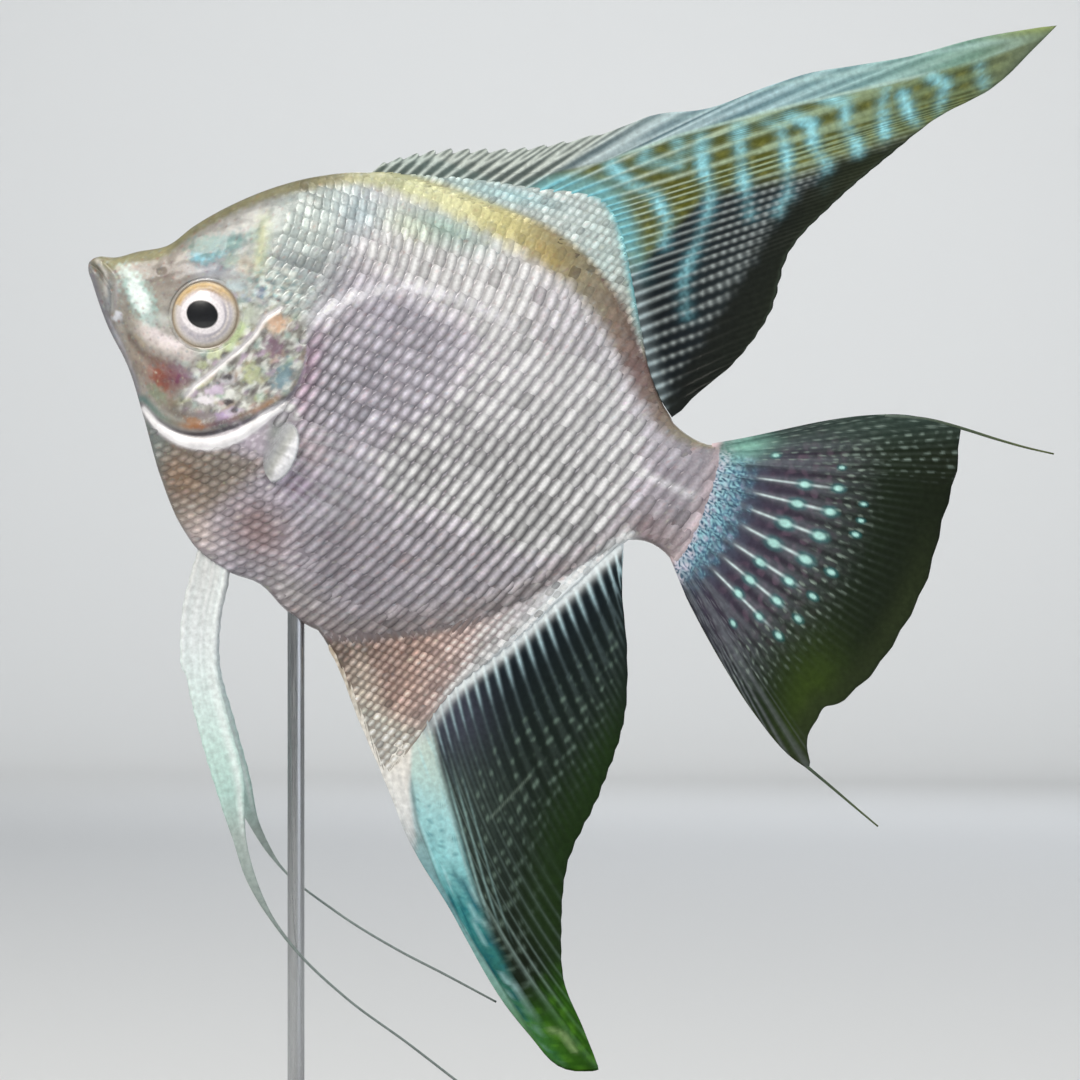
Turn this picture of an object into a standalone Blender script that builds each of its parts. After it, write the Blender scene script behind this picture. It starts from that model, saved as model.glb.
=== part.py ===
"""Freshwater angelfish, a life-size still model held on a display stand.

The fish is drawn in its own frame. "Along" runs from the snout to the tail, "up" runs from the
keel to the back, and both are given in millimetres for a fish of 90 mm standard length. Every
piece of the fish is an outline in that side view. One function gives the half thickness of the
body at any place, so the surfaces of the pieces run on into each other across their thin gaps.
The finished fish hangs from an empty that pitches it nose up over its stand.
"""

import math

import bmesh
import bpy
import numpy as np
from mathutils import Euler, Matrix
from mathutils.geometry import delaunay_2d_cdt

# Driving dimensions, in metres and degrees.
STANDARD_LENGTH = 0.090
NOSE_UP_DEG = 21.1
SNOUT = (-0.040, 0.0, 0.136)
GAP = 0.0003
FIN_THICKNESS = 0.0006

BASE_RADIUS = 0.045
BASE_HEIGHT = 0.008
ROD_RADIUS = 0.0012
ROD_SOCKET_DEPTH = 0.0075
BASE_SOCKET_DEPTH = 0.005

# One drawing unit, a millimetre on a fish of 90 mm.
UNIT = STANDARD_LENGTH / 90.0
GAP_UNITS = GAP / UNIT
MARGIN = FIN_THICKNESS / UNIT / 2

# Where the rod enters the belly, as (along, up).
ROD_ENTRY = (45.0, -36.7)

# The back from the upper lip to the root of the tail fin.
BACK = [(-0.55, 0.1), (-0.1, 0.9), (0.5, 1.4), (2.6, 2.1), (5.3, 4.0), (9.0, 6.4), (11.5, 10.3),
        (15.0, 14.6), (21.0, 20.2), (25.0, 23.0), (31.5, 26.3), (40.0, 27.5), (50.0, 27.6), (60.0, 27.0),
        (65.0, 25.4), (70.0, 22.4), (75.0, 18.0), (80.0, 12.6), (83.0, 9.9), (86.0, 8.4), (90.5, 7.9)]
# The chin, breast and belly, then the line where the flank meets the anal fin.
BELLY = [(-0.55, 0.0), (-0.3, -0.8), (1.0, -2.5), (5.0, -7.2), (10.0, -11.8), (14.5, -17.5),
         (20.0, -24.8), (25.0, -30.0), (29.0, -32.7), (34.0, -33.9), (38.0, -33.8), (43.4, -36.1),
         (48.0, -37.0), (52.0, -36.4), (58.0, -33.6), (64.0, -30.4), (70.0, -26.0), (74.0, -21.8),
         (78.0, -16.6), (81.5, -12.2), (84.5, -9.4), (87.2, -8.6), (90.5, -9.3)]

# Rear edge of the head and gill cover, nape to throat, and the cheek's rear edge below it.
GILL_EDGE = [(24.0, 22.35), (26.5, 15.0), (28.3, 9.0), (31.2, 3.8), (33.0, -1.0), (33.3, -6.0),
             (31.5, -10.5), (28.0, -13.8), (23.5, -16.6), (18.5, -17.9), (14.9, -18.0)]
CHEEK_EDGE = [(28.3, 9.0), (26.2, 4.5), (25.0, -1.0), (23.2, -6.0), (20.8, -10.0), (17.5, -13.8),
              (13.2, -16.0)]
GILL_TOP = 2
# The mouth, from the lips to its corner, and the rear edge of the lower jaw.
MOUTH = [(-0.55, 0.05), (1.4, -0.5), (4.0, -2.4)]
JAW_REAR = [(4.0, -2.4), (5.3, -5.0), (6.3, -8.45)]
STALK_START = 84.8

# Greatest half thickness of the body along the fish.
GIRTH = [(-0.6, 1.3), (1.0, 2.0), (4.0, 3.0), (8.0, 4.2), (12.0, 5.2), (17.0, 6.2), (24.0, 7.1),
         (32.0, 7.7), (40.0, 7.7), (50.0, 7.1), (60.0, 6.0), (70.0, 4.6), (80.0, 3.1), (86.0, 2.3),
         (90.5, 1.9)]
# Power of the section: one half is an ellipse, and more is a lens with sharper edges.
LENS_POWER = [(0.0, 0.48), (20.0, 0.58), (45.0, 0.72), (70.0, 0.70), (90.0, 0.52)]
# Half thickness left along the back and along the belly, where fins grow out.
BACK_EDGE = [(0.0, 0.5), (25.0, 0.45), (31.0, 0.6), (45.0, 0.9), (60.0, 1.2), (75.0, 1.2), (84.0, 0.9),
             (90.0, 0.7)]
BELLY_EDGE = [(0.0, 0.6), (14.0, 0.6), (25.0, 1.0), (29.0, 1.9), (34.0, 1.9), (40.0, 1.0), (48.0, 1.0),
              (56.0, 1.5), (70.0, 1.7), (80.0, 1.3), (84.0, 0.9), (90.0, 0.7)]

DORSAL_SPAN = (31.5, 84.4)
DORSAL_FRONT = [(31.6, 27.0), (36.0, 30.5), (40.0, 33.0), (45.0, 35.0), (50.0, 37.0), (57.0, 41.0),
                (63.0, 45.3), (67.0, 49.0), (72.0, 51.2), (80.0, 58.0), (85.0, 62.0), (90.0, 65.0),
                (97.0, 69.1), (105.0, 75.0), (115.3, 81.2)]
DORSAL_REAR = [(115.3, 81.2), (113.3, 76.6), (110.2, 69.9), (103.9, 62.3), (99.9, 55.5), (94.8, 46.0),
               (91.4, 37.4), (91.9, 28.0), (89.6, 19.6), (86.3, 13.6), (84.6, 9.6)]

ANAL_SPAN = (49.0, 84.4)
ANAL_FRONT = [(49.2, -37.6), (52.5, -40.3), (58.1, -46.4), (64.9, -53.4), (72.4, -61.2), (79.7, -66.7),
              (85.3, -71.5), (91.0, -76.0), (96.7, -79.5), (102.5, -82.3), (108.3, -80.9)]
ANAL_REAR = [(108.3, -80.9), (103.5, -75.7), (99.0, -71.0), (95.8, -64.0), (93.3, -55.3), (93.9, -44.0),
             (93.3, -32.7), (90.4, -24.2), (86.5, -16.2), (84.3, -10.2)]

TAIL_TOP = [(90.9, 8.1), (95.0, 10.5), (100.0, 13.8), (105.0, 17.0), (110.0, 19.7), (115.0, 21.7),
            (122.0, 22.6), (130.0, 23.2), (136.4, 24.1)]
TAIL_REAR = [(136.4, 23.5), (130.0, 22.4), (125.0, 21.3), (124.2, 18.0), (125.2, 9.6), (126.1, 0.0),
             (125.2, -8.0), (123.6, -14.5), (121.2, -19.4), (118.6, -23.6), (118.9, -27.6),
             (122.4, -29.6), (132.0, -33.7)]
TAIL_BOTTOM = [(132.0, -34.3), (126.0, -32.2), (118.0, -30.0), (110.0, -25.6), (105.0, -22.0),
               (100.0, -18.0), (95.0, -13.6), (90.9, -9.7)]

# Each pelvic fin: its middle line from the root to the tip of its filament, and its width there.
PELVIC_LEFT = [(31.3, -34.4, 5.8), (32.2, -40.0, 6.3), (34.9, -47.5, 5.7), (39.8, -54.6, 5.2),
               (44.5, -60.9, 4.7), (46.6, -64.4, 3.3), (48.5, -67.4, 2.1), (52.1, -72.2, 1.5),
               (55.6, -75.5, 0.9), (61.0, -79.1, 0.7), (71.0, -83.3, 0.6), (81.0, -86.0, 0.6),
               (90.5, -88.8, 0.6), (100.5, -91.6, 0.5)]
PELVIC_RIGHT = [(31.3, -34.4, 5.8), (32.2, -40.0, 6.1), (34.9, -47.2, 5.4), (40.2, -54.2, 4.7),
                (45.3, -60.6, 3.6), (49.8, -65.9, 1.5), (54.8, -69.8, 0.7), (64.8, -73.2, 0.6),
                (74.8, -75.1, 0.6), (82.8, -76.0, 0.6), (90.8, -77.0, 0.5)]
PELVIC_SPAN = (28.5, 34.1)
PELVIC_ROOT_ASIDE = 1.3
PELVIC_SPREAD = 0.085
PELVIC_ROOT_HALF = 0.9

PECTORAL = [(34.2, -10.6), (40.0, -9.2), (48.0, -9.0), (53.5, -11.4), (55.6, -15.2), (54.0, -19.6),
            (48.6, -22.6), (41.0, -22.6), (35.0, -19.6), (33.6, -15.0)]
PECTORAL_LOBE_REACH = 3.2
PECTORAL_LOBE_HALF = 0.75
PECTORAL_STANDS_OFF = 0.24

EYE_CENTRE = (17.9, -1.0)
EYE_RADIUS = 5.35
EYE_DEPTH = 3.4
EYE_STANDS_OUT = 1.65
EYE_FORWARD_DEG = 9.0

# Spacing of the points in the body, in the fins and along the fins' margins.
BODY_STEP = 2.4
FIN_STEP = 5.0
MARGIN_STEP = 3.5
# How far a fin's thick root reaches out into it.
ROOT_FADE = 7.0
# Each fin in the middle plane: half thickness at its root, and how far aside it leans at a reach.
DORSAL_SET = (1.0, 2.4, 60.0)
ANAL_SET = (1.3, 1.6, 60.0)
CAUDAL_SET = (1.5, -2.2, 42.0)


def smooth(points, step=None):
    """Cubic curve through the points, sampled at nearly even steps along its length."""
    points = np.array(points, float)
    chord = np.concatenate([[0.0], np.cumsum(np.hypot(*np.diff(points[:, :2], axis=0).T))])
    slope = np.gradient(points, chord, axis=0)
    place = np.linspace(0.0, chord[-1], 40 * len(points))
    k = np.clip(np.searchsorted(chord, place, side="right") - 1, 0, len(chord) - 2)
    span = (chord[k + 1] - chord[k])[:, None]
    f = (place[:, None] - chord[k][:, None]) / span
    fine = ((1 + 2 * f) * (1 - f) ** 2 * points[k] + f * (1 - f) ** 2 * span * slope[k]
            + f ** 2 * (3 - 2 * f) * points[k + 1] - f ** 2 * (1 - f) * span * slope[k + 1])
    return evenly(fine, step) if step else fine


def evenly(curve, step):
    """The same line with its points a nearly even step apart, its two ends kept."""
    length = np.concatenate([[0.0], np.cumsum(np.hypot(*np.diff(curve[:, :2], axis=0).T))])
    count = max(2, int(round(length[-1] / step)) + 1)
    at = np.linspace(0.0, length[-1], count)
    return np.stack([np.interp(at, length, column) for column in curve.T], axis=1)


def shifted(curve, distance):
    """The line moved sideways, to the left of its own direction."""
    along = np.gradient(curve[:, :2], axis=0)
    along /= np.hypot(*along.T)[:, None]
    return curve[:, :2] + distance * np.stack([-along[:, 1], along[:, 0]], axis=1)


def between(curve, start, stop):
    """The stretch of a profile from one place along the fish to another, both ends worked out."""
    ends = [(x, np.interp(x, curve[:, 0], curve[:, 1])) for x in (start, stop)]
    middle = curve[(curve[:, 0] > start) & (curve[:, 0] < stop)]
    return np.concatenate([[ends[0]], middle, [ends[1]]])


def distance_to(curve, spots):
    """Distance from each spot to a line of straight segments."""
    a, b = curve[:-1], curve[1:]
    run = b - a
    f = ((spots[:, None] - a) * run).sum(2) / (run ** 2).sum(1)
    foot = a + np.clip(f, 0.0, 1.0)[..., None] * run
    return np.sqrt(((spots[:, None] - foot) ** 2).sum(2)).min(1)


def inside(outline, spots):
    """True for each spot that lies within a closed outline, by counting crossings."""
    a, b = outline, np.roll(outline, -1, axis=0)
    x, z = spots[:, 0][:, None], spots[:, 1][:, None]
    straddles = (a[:, 1] > z) != (b[:, 1] > z)
    rise = np.where(b[:, 1] == a[:, 1], 1.0, b[:, 1] - a[:, 1])
    crossing = a[:, 0] + (z - a[:, 1]) / rise * (b[:, 0] - a[:, 0])
    return (straddles & (x < crossing)).sum(1) % 2 == 1


def read(table, place):
    """Value of a table of (place, value) pairs at any place along the fish."""
    places, values = zip(*table)
    return np.interp(place, places, values)


BACK_LINE = smooth(BACK)
BELLY_LINE = smooth(BELLY)


def half_thickness(spots):
    """Half thickness of the body: a lens between belly and back, with an edge left at each."""
    along, up = spots[:, 0], spots[:, 1]
    low = np.interp(along, BELLY_LINE[:, 0], BELLY_LINE[:, 1])
    high = np.interp(along, BACK_LINE[:, 0], BACK_LINE[:, 1])
    level = np.clip((up - low) / np.maximum(high - low, 1e-6), 0.0, 1.0)
    lens = (4 * level * (1 - level)) ** read(LENS_POWER, along)
    edge = (1 - level) * read(BELLY_EDGE, along) + level * read(BACK_EDGE, along)
    return edge + (read(GIRTH, along) - edge) * lens


def body_rows(outline):
    """Spots inside a piece of the body: columns across the fish, closer together near its edges."""
    spots = []
    for along in np.arange(0.6, 90.5, BODY_STEP):
        low = np.interp(along, BELLY_LINE[:, 0], BELLY_LINE[:, 1])
        high = np.interp(along, BACK_LINE[:, 0], BACK_LINE[:, 1])
        rows = max(2, int(round(1.5 + 0.2 * (high - low))))
        level = 0.5 - 0.5 * np.cos(np.pi * np.arange(1, rows) / rows)
        spots += [(along, low + f * (high - low)) for f in level]
    spots = np.array(spots)
    spots = spots[inside(outline, spots)]
    rim = np.concatenate([outline, outline[:1]])
    return spots[distance_to(rim, spots) > 0.45]


def lattice(outline, step):
    """Spots on a triangular lattice that lie well inside an outline."""
    low, high = outline.min(0), outline.max(0)
    spots = []
    for row, up in enumerate(np.arange(low[1], high[1], step * math.sqrt(0.75))):
        start = low[0] + (row % 2) * step / 2
        spots += [(along, up) for along in np.arange(start, high[0], step)]
    spots = np.array(spots)
    spots = spots[inside(outline, spots)]
    rim = np.concatenate([outline, outline[:1]])
    return spots[distance_to(rim, spots) > 0.38 * step]


def triangulated(outline, spots):
    """Triangles that fill an outline through the spots, turning against the clock."""
    count = len(outline)
    corners = [tuple(p) for p in np.concatenate([outline, spots])]
    rim = [(i, (i + 1) % count) for i in range(count)]
    flat, _, faces, _, _, _ = delaunay_2d_cdt(corners, rim, [], 1, 1e-4)
    flat = np.array([tuple(p) for p in flat])
    faces = np.array([tuple(f) for f in faces])
    a, b, c = (flat[faces[:, i]] for i in range(3))
    turn = (b[:, 0] - a[:, 0]) * (c[:, 1] - a[:, 1]) - (b[:, 1] - a[:, 1]) * (c[:, 0] - a[:, 0])
    faces[turn < 0] = faces[turn < 0][:, ::-1]
    return flat, faces


def paint(name, colour, roughness, metallic=0.0):
    """A plain material in the piece's own colour."""
    material = bpy.data.materials.new(name)
    material.use_nodes = True
    shader = material.node_tree.nodes["Principled BSDF"]
    shader.inputs["Base Color"].default_value = (*colour, 1.0)
    shader.inputs["Roughness"].default_value = roughness
    shader.inputs["Metallic"].default_value = metallic
    return material


def finished(name, mesh, material, parent=None):
    """An object for a finished mesh, shaded smooth where its faces turn gently."""
    mesh.materials.append(material)
    mesh.shade_smooth()
    mesh.set_sharp_from_angle(angle=math.radians(40))
    piece = bpy.data.objects.new(name, mesh)
    piece.parent = parent
    bpy.context.collection.objects.link(piece)
    return piece


def plate(name, outline, spots, low, high, material, parent):
    """A closed piece over an outline, from the surface y = low to the surface y = high."""
    flat, faces = triangulated(outline, spots)
    count = len(flat)
    near = np.column_stack([flat[:, 0], low(flat), flat[:, 1]])
    far = np.column_stack([flat[:, 0], high(flat), flat[:, 1]])
    edges = {(f[i], f[(i + 1) % 3]) for f in faces for i in range(3)}
    rim = [(i, j) for i, j in edges if (j, i) not in edges]
    walls = [(j, i, i + count, j + count) for i, j in sorted(rim)]
    shell = [tuple(f) for f in faces] + [tuple(count + f[::-1]) for f in faces] + walls
    mesh = bpy.data.meshes.new(name)
    mesh.from_pydata((np.concatenate([near, far]) * UNIT).tolist(), [], [tuple(map(int, f)) for f in shell])
    return finished(name, mesh, material, parent)


def body_piece(name, outline, material, parent, side=0):
    """A piece of the body: both flanks where side is 0, or the half on one side of the middle."""
    inner = GAP_UNITS / 2
    low = (lambda p: -half_thickness(p)) if side <= 0 else (lambda p: np.full(len(p), inner))
    high = (lambda p: half_thickness(p)) if side >= 0 else (lambda p: np.full(len(p), -inner))
    return plate(name, outline, body_rows(outline), low, high, material, parent)


def head_outline():
    """Lips, forehead, rear edge down to the gill cover, cheek, throat and the lower jaw's seat."""
    back = evenly(between(BACK_LINE, -0.3, GILL_EDGE[0][0] - GAP_UNITS / 2), BODY_STEP)
    nape = shifted(smooth(GILL_EDGE[:GILL_TOP + 1], BODY_STEP), -GAP_UNITS / 2)[1:-1]
    cheek = shifted(smooth(CHEEK_EDGE, BODY_STEP), -GAP_UNITS / 2)[:-1]
    throat = between(BELLY_LINE, JAW_REAR[-1][0] + GAP_UNITS / 2, CHEEK_EDGE[-1][0] - GAP_UNITS / 2)
    throat = evenly(throat, BODY_STEP)
    jaw = shifted(smooth(JAW_REAR, BODY_STEP), GAP_UNITS / 2)
    mouth = shifted(smooth(MOUTH, 1.5), GAP_UNITS / 2)
    return np.concatenate([back, nape, cheek, throat[::-1], jaw[::-1][1:], mouth[::-1][1:-1]])


def jaw_outline():
    """The lower jaw: chin, rear edge and the mouth line."""
    chin = evenly(between(BELLY_LINE, -0.5, JAW_REAR[-1][0] - GAP_UNITS / 2), BODY_STEP / 2)
    rear = shifted(smooth(JAW_REAR, BODY_STEP), -GAP_UNITS / 2)[:-1]
    mouth = shifted(smooth(MOUTH, 1.5), -GAP_UNITS / 2)
    return np.concatenate([chin, rear[::-1], mouth[::-1][1:-1]])


def gill_cover_outline():
    """The gill cover: its free rear edge, a short stretch of throat and the cheek's edge."""
    free = shifted(smooth(GILL_EDGE[GILL_TOP:], BODY_STEP), -GAP_UNITS / 2)[1:-1]
    throat = between(BELLY_LINE, CHEEK_EDGE[-1][0] + GAP_UNITS / 2, GILL_EDGE[-1][0] - GAP_UNITS / 2)
    cheek = shifted(smooth(CHEEK_EDGE, BODY_STEP), GAP_UNITS / 2)[1:-1]
    return np.concatenate([free, throat[[-1, 0]], cheek[::-1]])


def trunk_outline():
    """The trunk: back, the cut before the tail stalk, belly, and the edge behind the gill cover."""
    rear = STALK_START - GAP_UNITS / 2
    back = evenly(between(BACK_LINE, GILL_EDGE[0][0] + GAP_UNITS / 2, rear), BODY_STEP)
    belly = evenly(between(BELLY_LINE, GILL_EDGE[-1][0] + GAP_UNITS / 2, rear), BODY_STEP)
    gills = shifted(smooth(GILL_EDGE, BODY_STEP), GAP_UNITS / 2)[1:-1]
    return np.concatenate([back, belly[::-1], gills[::-1]])


def stalk_outline():
    """The tail stalk, up to the root of the tail fin."""
    back = evenly(between(BACK_LINE, STALK_START + GAP_UNITS / 2, 90.5), BODY_STEP)
    belly = evenly(between(BELLY_LINE, STALK_START + GAP_UNITS / 2, 90.5), BODY_STEP)
    return np.concatenate([back, belly[::-1]])


def fin(name, root, margin, setting, material, parent):
    """A fin in the middle plane: thick along its root, thin at its margin, leaning to one side."""
    outline = np.concatenate([root, margin])
    root_half, lean, reach = setting

    def half(spots):
        far = distance_to(root, spots)
        return MARGIN + (root_half - MARGIN) * np.exp(-(far / ROOT_FADE) ** 1.3)

    def middle(spots):
        return lean * (distance_to(root, spots) / reach) ** 2

    return plate(name, outline, lattice(outline, FIN_STEP), lambda p: middle(p) - half(p),
                 lambda p: middle(p) + half(p), material, parent)


def add_dorsal_fin(material, parent):
    root = shifted(evenly(between(BACK_LINE, *DORSAL_SPAN), BODY_STEP), GAP_UNITS)
    front = smooth(DORSAL_FRONT, MARGIN_STEP)
    rear = smooth(DORSAL_REAR, MARGIN_STEP)
    margin = np.concatenate([rear[1:-1][::-1], front[::-1][:-1]])
    return fin("dorsal_fin", root, margin, DORSAL_SET, material, parent)


def add_anal_fin(material, parent):
    root = shifted(evenly(between(BELLY_LINE, *ANAL_SPAN), BODY_STEP), -GAP_UNITS)
    front = smooth(ANAL_FRONT, MARGIN_STEP)
    rear = smooth(ANAL_REAR, MARGIN_STEP)
    margin = np.concatenate([rear[1:-1][::-1], front[::-1][:-1]])
    return fin("anal_fin", root, margin, ANAL_SET, material, parent)


def add_tail_fin(material, parent):
    upper = smooth(TAIL_TOP, MARGIN_STEP)
    rear = smooth(TAIL_REAR, 2.8)
    lower = smooth(TAIL_BOTTOM, MARGIN_STEP)
    root = evenly(np.array([lower[-1], upper[0]]), BODY_STEP)
    margin = np.concatenate([upper[1:], rear, lower[:-1]])
    return fin("caudal_fin", root, margin, CAUDAL_SET, material, parent)


def add_pelvic_fin(name, middle_line, side, material, parent):
    """A ribbon along its middle line: a blade that narrows to a long filament, clear of the rod."""
    line = smooth(middle_line, 3.0)
    across = shifted(line, 1.0) - line[:, :2]
    left, right = (line[1:, :2] + side_of_line * across[1:] * line[1:, 2:] / 2 for side_of_line in (1, -1))
    seat = shifted(evenly(between(BELLY_LINE, *PELVIC_SPAN), 2.0), -GAP_UNITS)
    outline = np.concatenate([seat, left, right[::-1]])
    root = line[0, :2]

    def far(spots):
        return np.hypot(*(spots - root).T)

    def half(spots):
        return MARGIN + (PELVIC_ROOT_HALF - MARGIN) * np.exp(-far(spots) / 12.0)

    def middle(spots):
        return side * (PELVIC_ROOT_ASIDE + PELVIC_SPREAD * np.minimum(far(spots), 45.0))

    return plate(name, outline, lattice(outline, 3.0), lambda p: middle(p) - half(p),
                 lambda p: middle(p) + half(p), material, parent)


def add_pectoral_fin(name, side, material, parent):
    """A rounded fan that starts on the flank as a fleshy lobe and stands off it towards the rear."""
    closed = smooth(PECTORAL + PECTORAL[:1], 2.4)
    outline = closed[:-1]
    root = np.array([PECTORAL[0], PECTORAL[-1], PECTORAL[-2]])

    def half(spots):
        fade = np.exp(-(distance_to(root, spots) / PECTORAL_LOBE_REACH) ** 2)
        return MARGIN + (PECTORAL_LOBE_HALF - MARGIN) * fade

    def inner(spots):
        return half_thickness(spots) + GAP_UNITS + PECTORAL_STANDS_OFF * distance_to(root, spots)

    def outer(spots):
        return inner(spots) + 2 * half(spots)

    low, high = (inner, outer) if side > 0 else (lambda p: -outer(p), lambda p: -inner(p))
    return plate(name, outline, lattice(outline, 3.5), low, high, material, parent)


def eyeball(name, side, grow, parent):
    """A flattened ball that looks out to one side and a little forward."""
    surface = half_thickness(np.array([EYE_CENTRE]))[0]
    aside = side * (surface + EYE_STANDS_OUT - EYE_DEPTH)
    mesh = bpy.data.meshes.new(name)
    ball = bmesh.new()
    wide, deep = (EYE_RADIUS + grow) * UNIT, (EYE_DEPTH + grow) * UNIT
    flatten = Matrix.Diagonal((wide, wide, deep, 1.0))
    bmesh.ops.create_uvsphere(ball, u_segments=22, v_segments=12, radius=1.0, matrix=flatten)
    ball.to_mesh(mesh)
    ball.free()
    mesh.shade_smooth()
    piece = bpy.data.objects.new(name, mesh)
    piece.parent = parent
    piece.location = (EYE_CENTRE[0] * UNIT, aside * UNIT, EYE_CENTRE[1] * UNIT)
    piece.rotation_euler = Euler((math.radians(-90 * side), 0.0, math.radians(EYE_FORWARD_DEG * side)))
    bpy.context.collection.objects.link(piece)
    return piece


def add_eye(name, side, head, material, parent):
    """An eye, and the socket that it leaves in the head."""
    eye = eyeball(name, side, 0.0, parent)
    eye.data.materials.append(material)
    cut(head, eyeball("cut_" + name, side, GAP_UNITS, parent))
    return eye


def cut(piece, cutter):
    """Take a cutter's shape out of a piece."""
    cutter.hide_render = True
    cutter.display_type = "WIRE"
    opening = piece.modifiers.new("opening for " + cutter.name, "BOOLEAN")
    opening.operation = "DIFFERENCE"
    opening.solver = "EXACT"
    opening.object = cutter


def round_bar(name, radius, bottom, top, along, material, sides=24):
    """An upright round bar between two heights, its ends slightly chamfered."""
    chamfer = radius / 4
    inner = radius - chamfer
    profile = [(inner, bottom), (radius, bottom + chamfer), (radius, top - chamfer), (inner, top)]
    return turned(name, profile, (along, 0.0), material, sides)


def turned(name, profile, centre, material, sides):
    """A solid of revolution about an upright axis, from (radius, height) pairs, lowest first."""
    angles = 2 * np.pi * np.arange(sides) / sides
    rings = [(centre[0] + r * math.cos(t), centre[1] + r * math.sin(t), z)
             for r, z in profile for t in angles]
    faces = []
    for ring in range(len(profile) - 1):
        for i in range(sides):
            j = (i + 1) % sides
            faces.append((ring * sides + i, ring * sides + j, (ring + 1) * sides + j, (ring + 1) * sides + i))
    faces.append(tuple(reversed(range(sides))))
    faces.append(tuple((len(profile) - 1) * sides + i for i in range(sides)))
    mesh = bpy.data.meshes.new(name)
    mesh.from_pydata(rings, [], faces)
    return finished(name, mesh, material)


def add_stand(trunk, wood, steel):
    """A round wooden base and an upright steel rod, with a socket at each end of the rod."""
    pitch = math.radians(NOSE_UP_DEG)
    along = SNOUT[0] + UNIT * (ROD_ENTRY[0] * math.cos(pitch) + ROD_ENTRY[1] * math.sin(pitch))
    belly = SNOUT[2] + UNIT * (-ROD_ENTRY[0] * math.sin(pitch) + ROD_ENTRY[1] * math.cos(pitch))
    r, h = BASE_RADIUS, BASE_HEIGHT
    edge = [(r - 0.0006, 0.0), (r, 0.0006), (r, 0.40 * h), (r - 0.0008, 0.52 * h), (r - 0.0030, 0.60 * h),
            (r - 0.0044, 0.74 * h), (r - 0.0050, 0.92 * h), (r - 0.0060, h)]
    base = turned("stand_base", edge, (0.0, 0.0), wood, 56)
    foot = BASE_HEIGHT - BASE_SOCKET_DEPTH
    round_bar("stand_rod", ROD_RADIUS, foot + GAP, belly + ROD_SOCKET_DEPTH - GAP, along, steel)
    cut(base, round_bar("cut_base_socket", ROD_RADIUS + GAP, foot, 2 * BASE_HEIGHT, along, wood))
    socket_top = belly + ROD_SOCKET_DEPTH
    cut(trunk, round_bar("cut_belly_socket", ROD_RADIUS + GAP, belly - 0.010, socket_top, along, steel))


def main():
    for old in list(bpy.data.objects):
        bpy.data.objects.remove(old, do_unlink=True)
    pose = bpy.data.objects.new("nose_up_pose", None)
    pose.location = SNOUT
    pose.rotation_euler = (0.0, math.radians(NOSE_UP_DEG), 0.0)
    bpy.context.collection.objects.link(pose)

    head = body_piece("head", head_outline(), paint("head skin", (0.36, 0.33, 0.26), 0.35), pose)
    body_piece("lower_jaw", jaw_outline(), paint("jaw skin", (0.35, 0.36, 0.33), 0.35), pose)
    gill_skin = paint("gill cover skin", (0.42, 0.42, 0.36), 0.25, 0.2)
    body_piece("gill_cover_left", gill_cover_outline(), gill_skin, pose, side=-1)
    body_piece("gill_cover_right", gill_cover_outline(), gill_skin, pose, side=1)
    trunk = body_piece("trunk", trunk_outline(), paint("trunk scales", (0.38, 0.32, 0.36), 0.3, 0.2), pose)
    body_piece("tail_stalk", stalk_outline(), paint("tail stalk scales", (0.50, 0.40, 0.42), 0.3, 0.2), pose)

    iris = paint("eye", (0.55, 0.50, 0.45), 0.08)
    add_eye("eye_left", -1, head, iris, pose)
    add_eye("eye_right", 1, head, iris, pose)

    add_dorsal_fin(paint("dorsal fin", (0.14, 0.16, 0.10), 0.4), pose)
    add_anal_fin(paint("anal fin", (0.10, 0.16, 0.14), 0.4), pose)
    add_tail_fin(paint("tail fin", (0.12, 0.16, 0.16), 0.4), pose)
    ribbon = paint("pelvic fin", (0.62, 0.72, 0.70), 0.35)
    add_pelvic_fin("pelvic_fin_left", PELVIC_LEFT, -1, ribbon, pose)
    add_pelvic_fin("pelvic_fin_right", PELVIC_RIGHT, 1, ribbon, pose)
    fan = paint("pectoral fin", (0.70, 0.68, 0.66), 0.2)
    add_pectoral_fin("pectoral_fin_left", -1, fan, pose)
    add_pectoral_fin("pectoral_fin_right", 1, fan, pose)

    add_stand(trunk, paint("walnut", (0.10, 0.05, 0.03), 0.4), paint("steel", (0.60, 0.60, 0.62), 0.3, 1.0))


main()
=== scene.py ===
"""Looks of a life-size freshwater angelfish on its display stand.

The fish is worked out in its own frame: "along" runs from snout to tail, "up" from keel to back, and
"aside" across the middle plane, in millimetres on a fish of 90 mm standard length. One function
turns that frame into the world's metres. The skin is a height field over the side view, the scales
sit on its unrolled surface, and each fin is a fan of rays between a root line and a margin.
"""

import math

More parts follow.
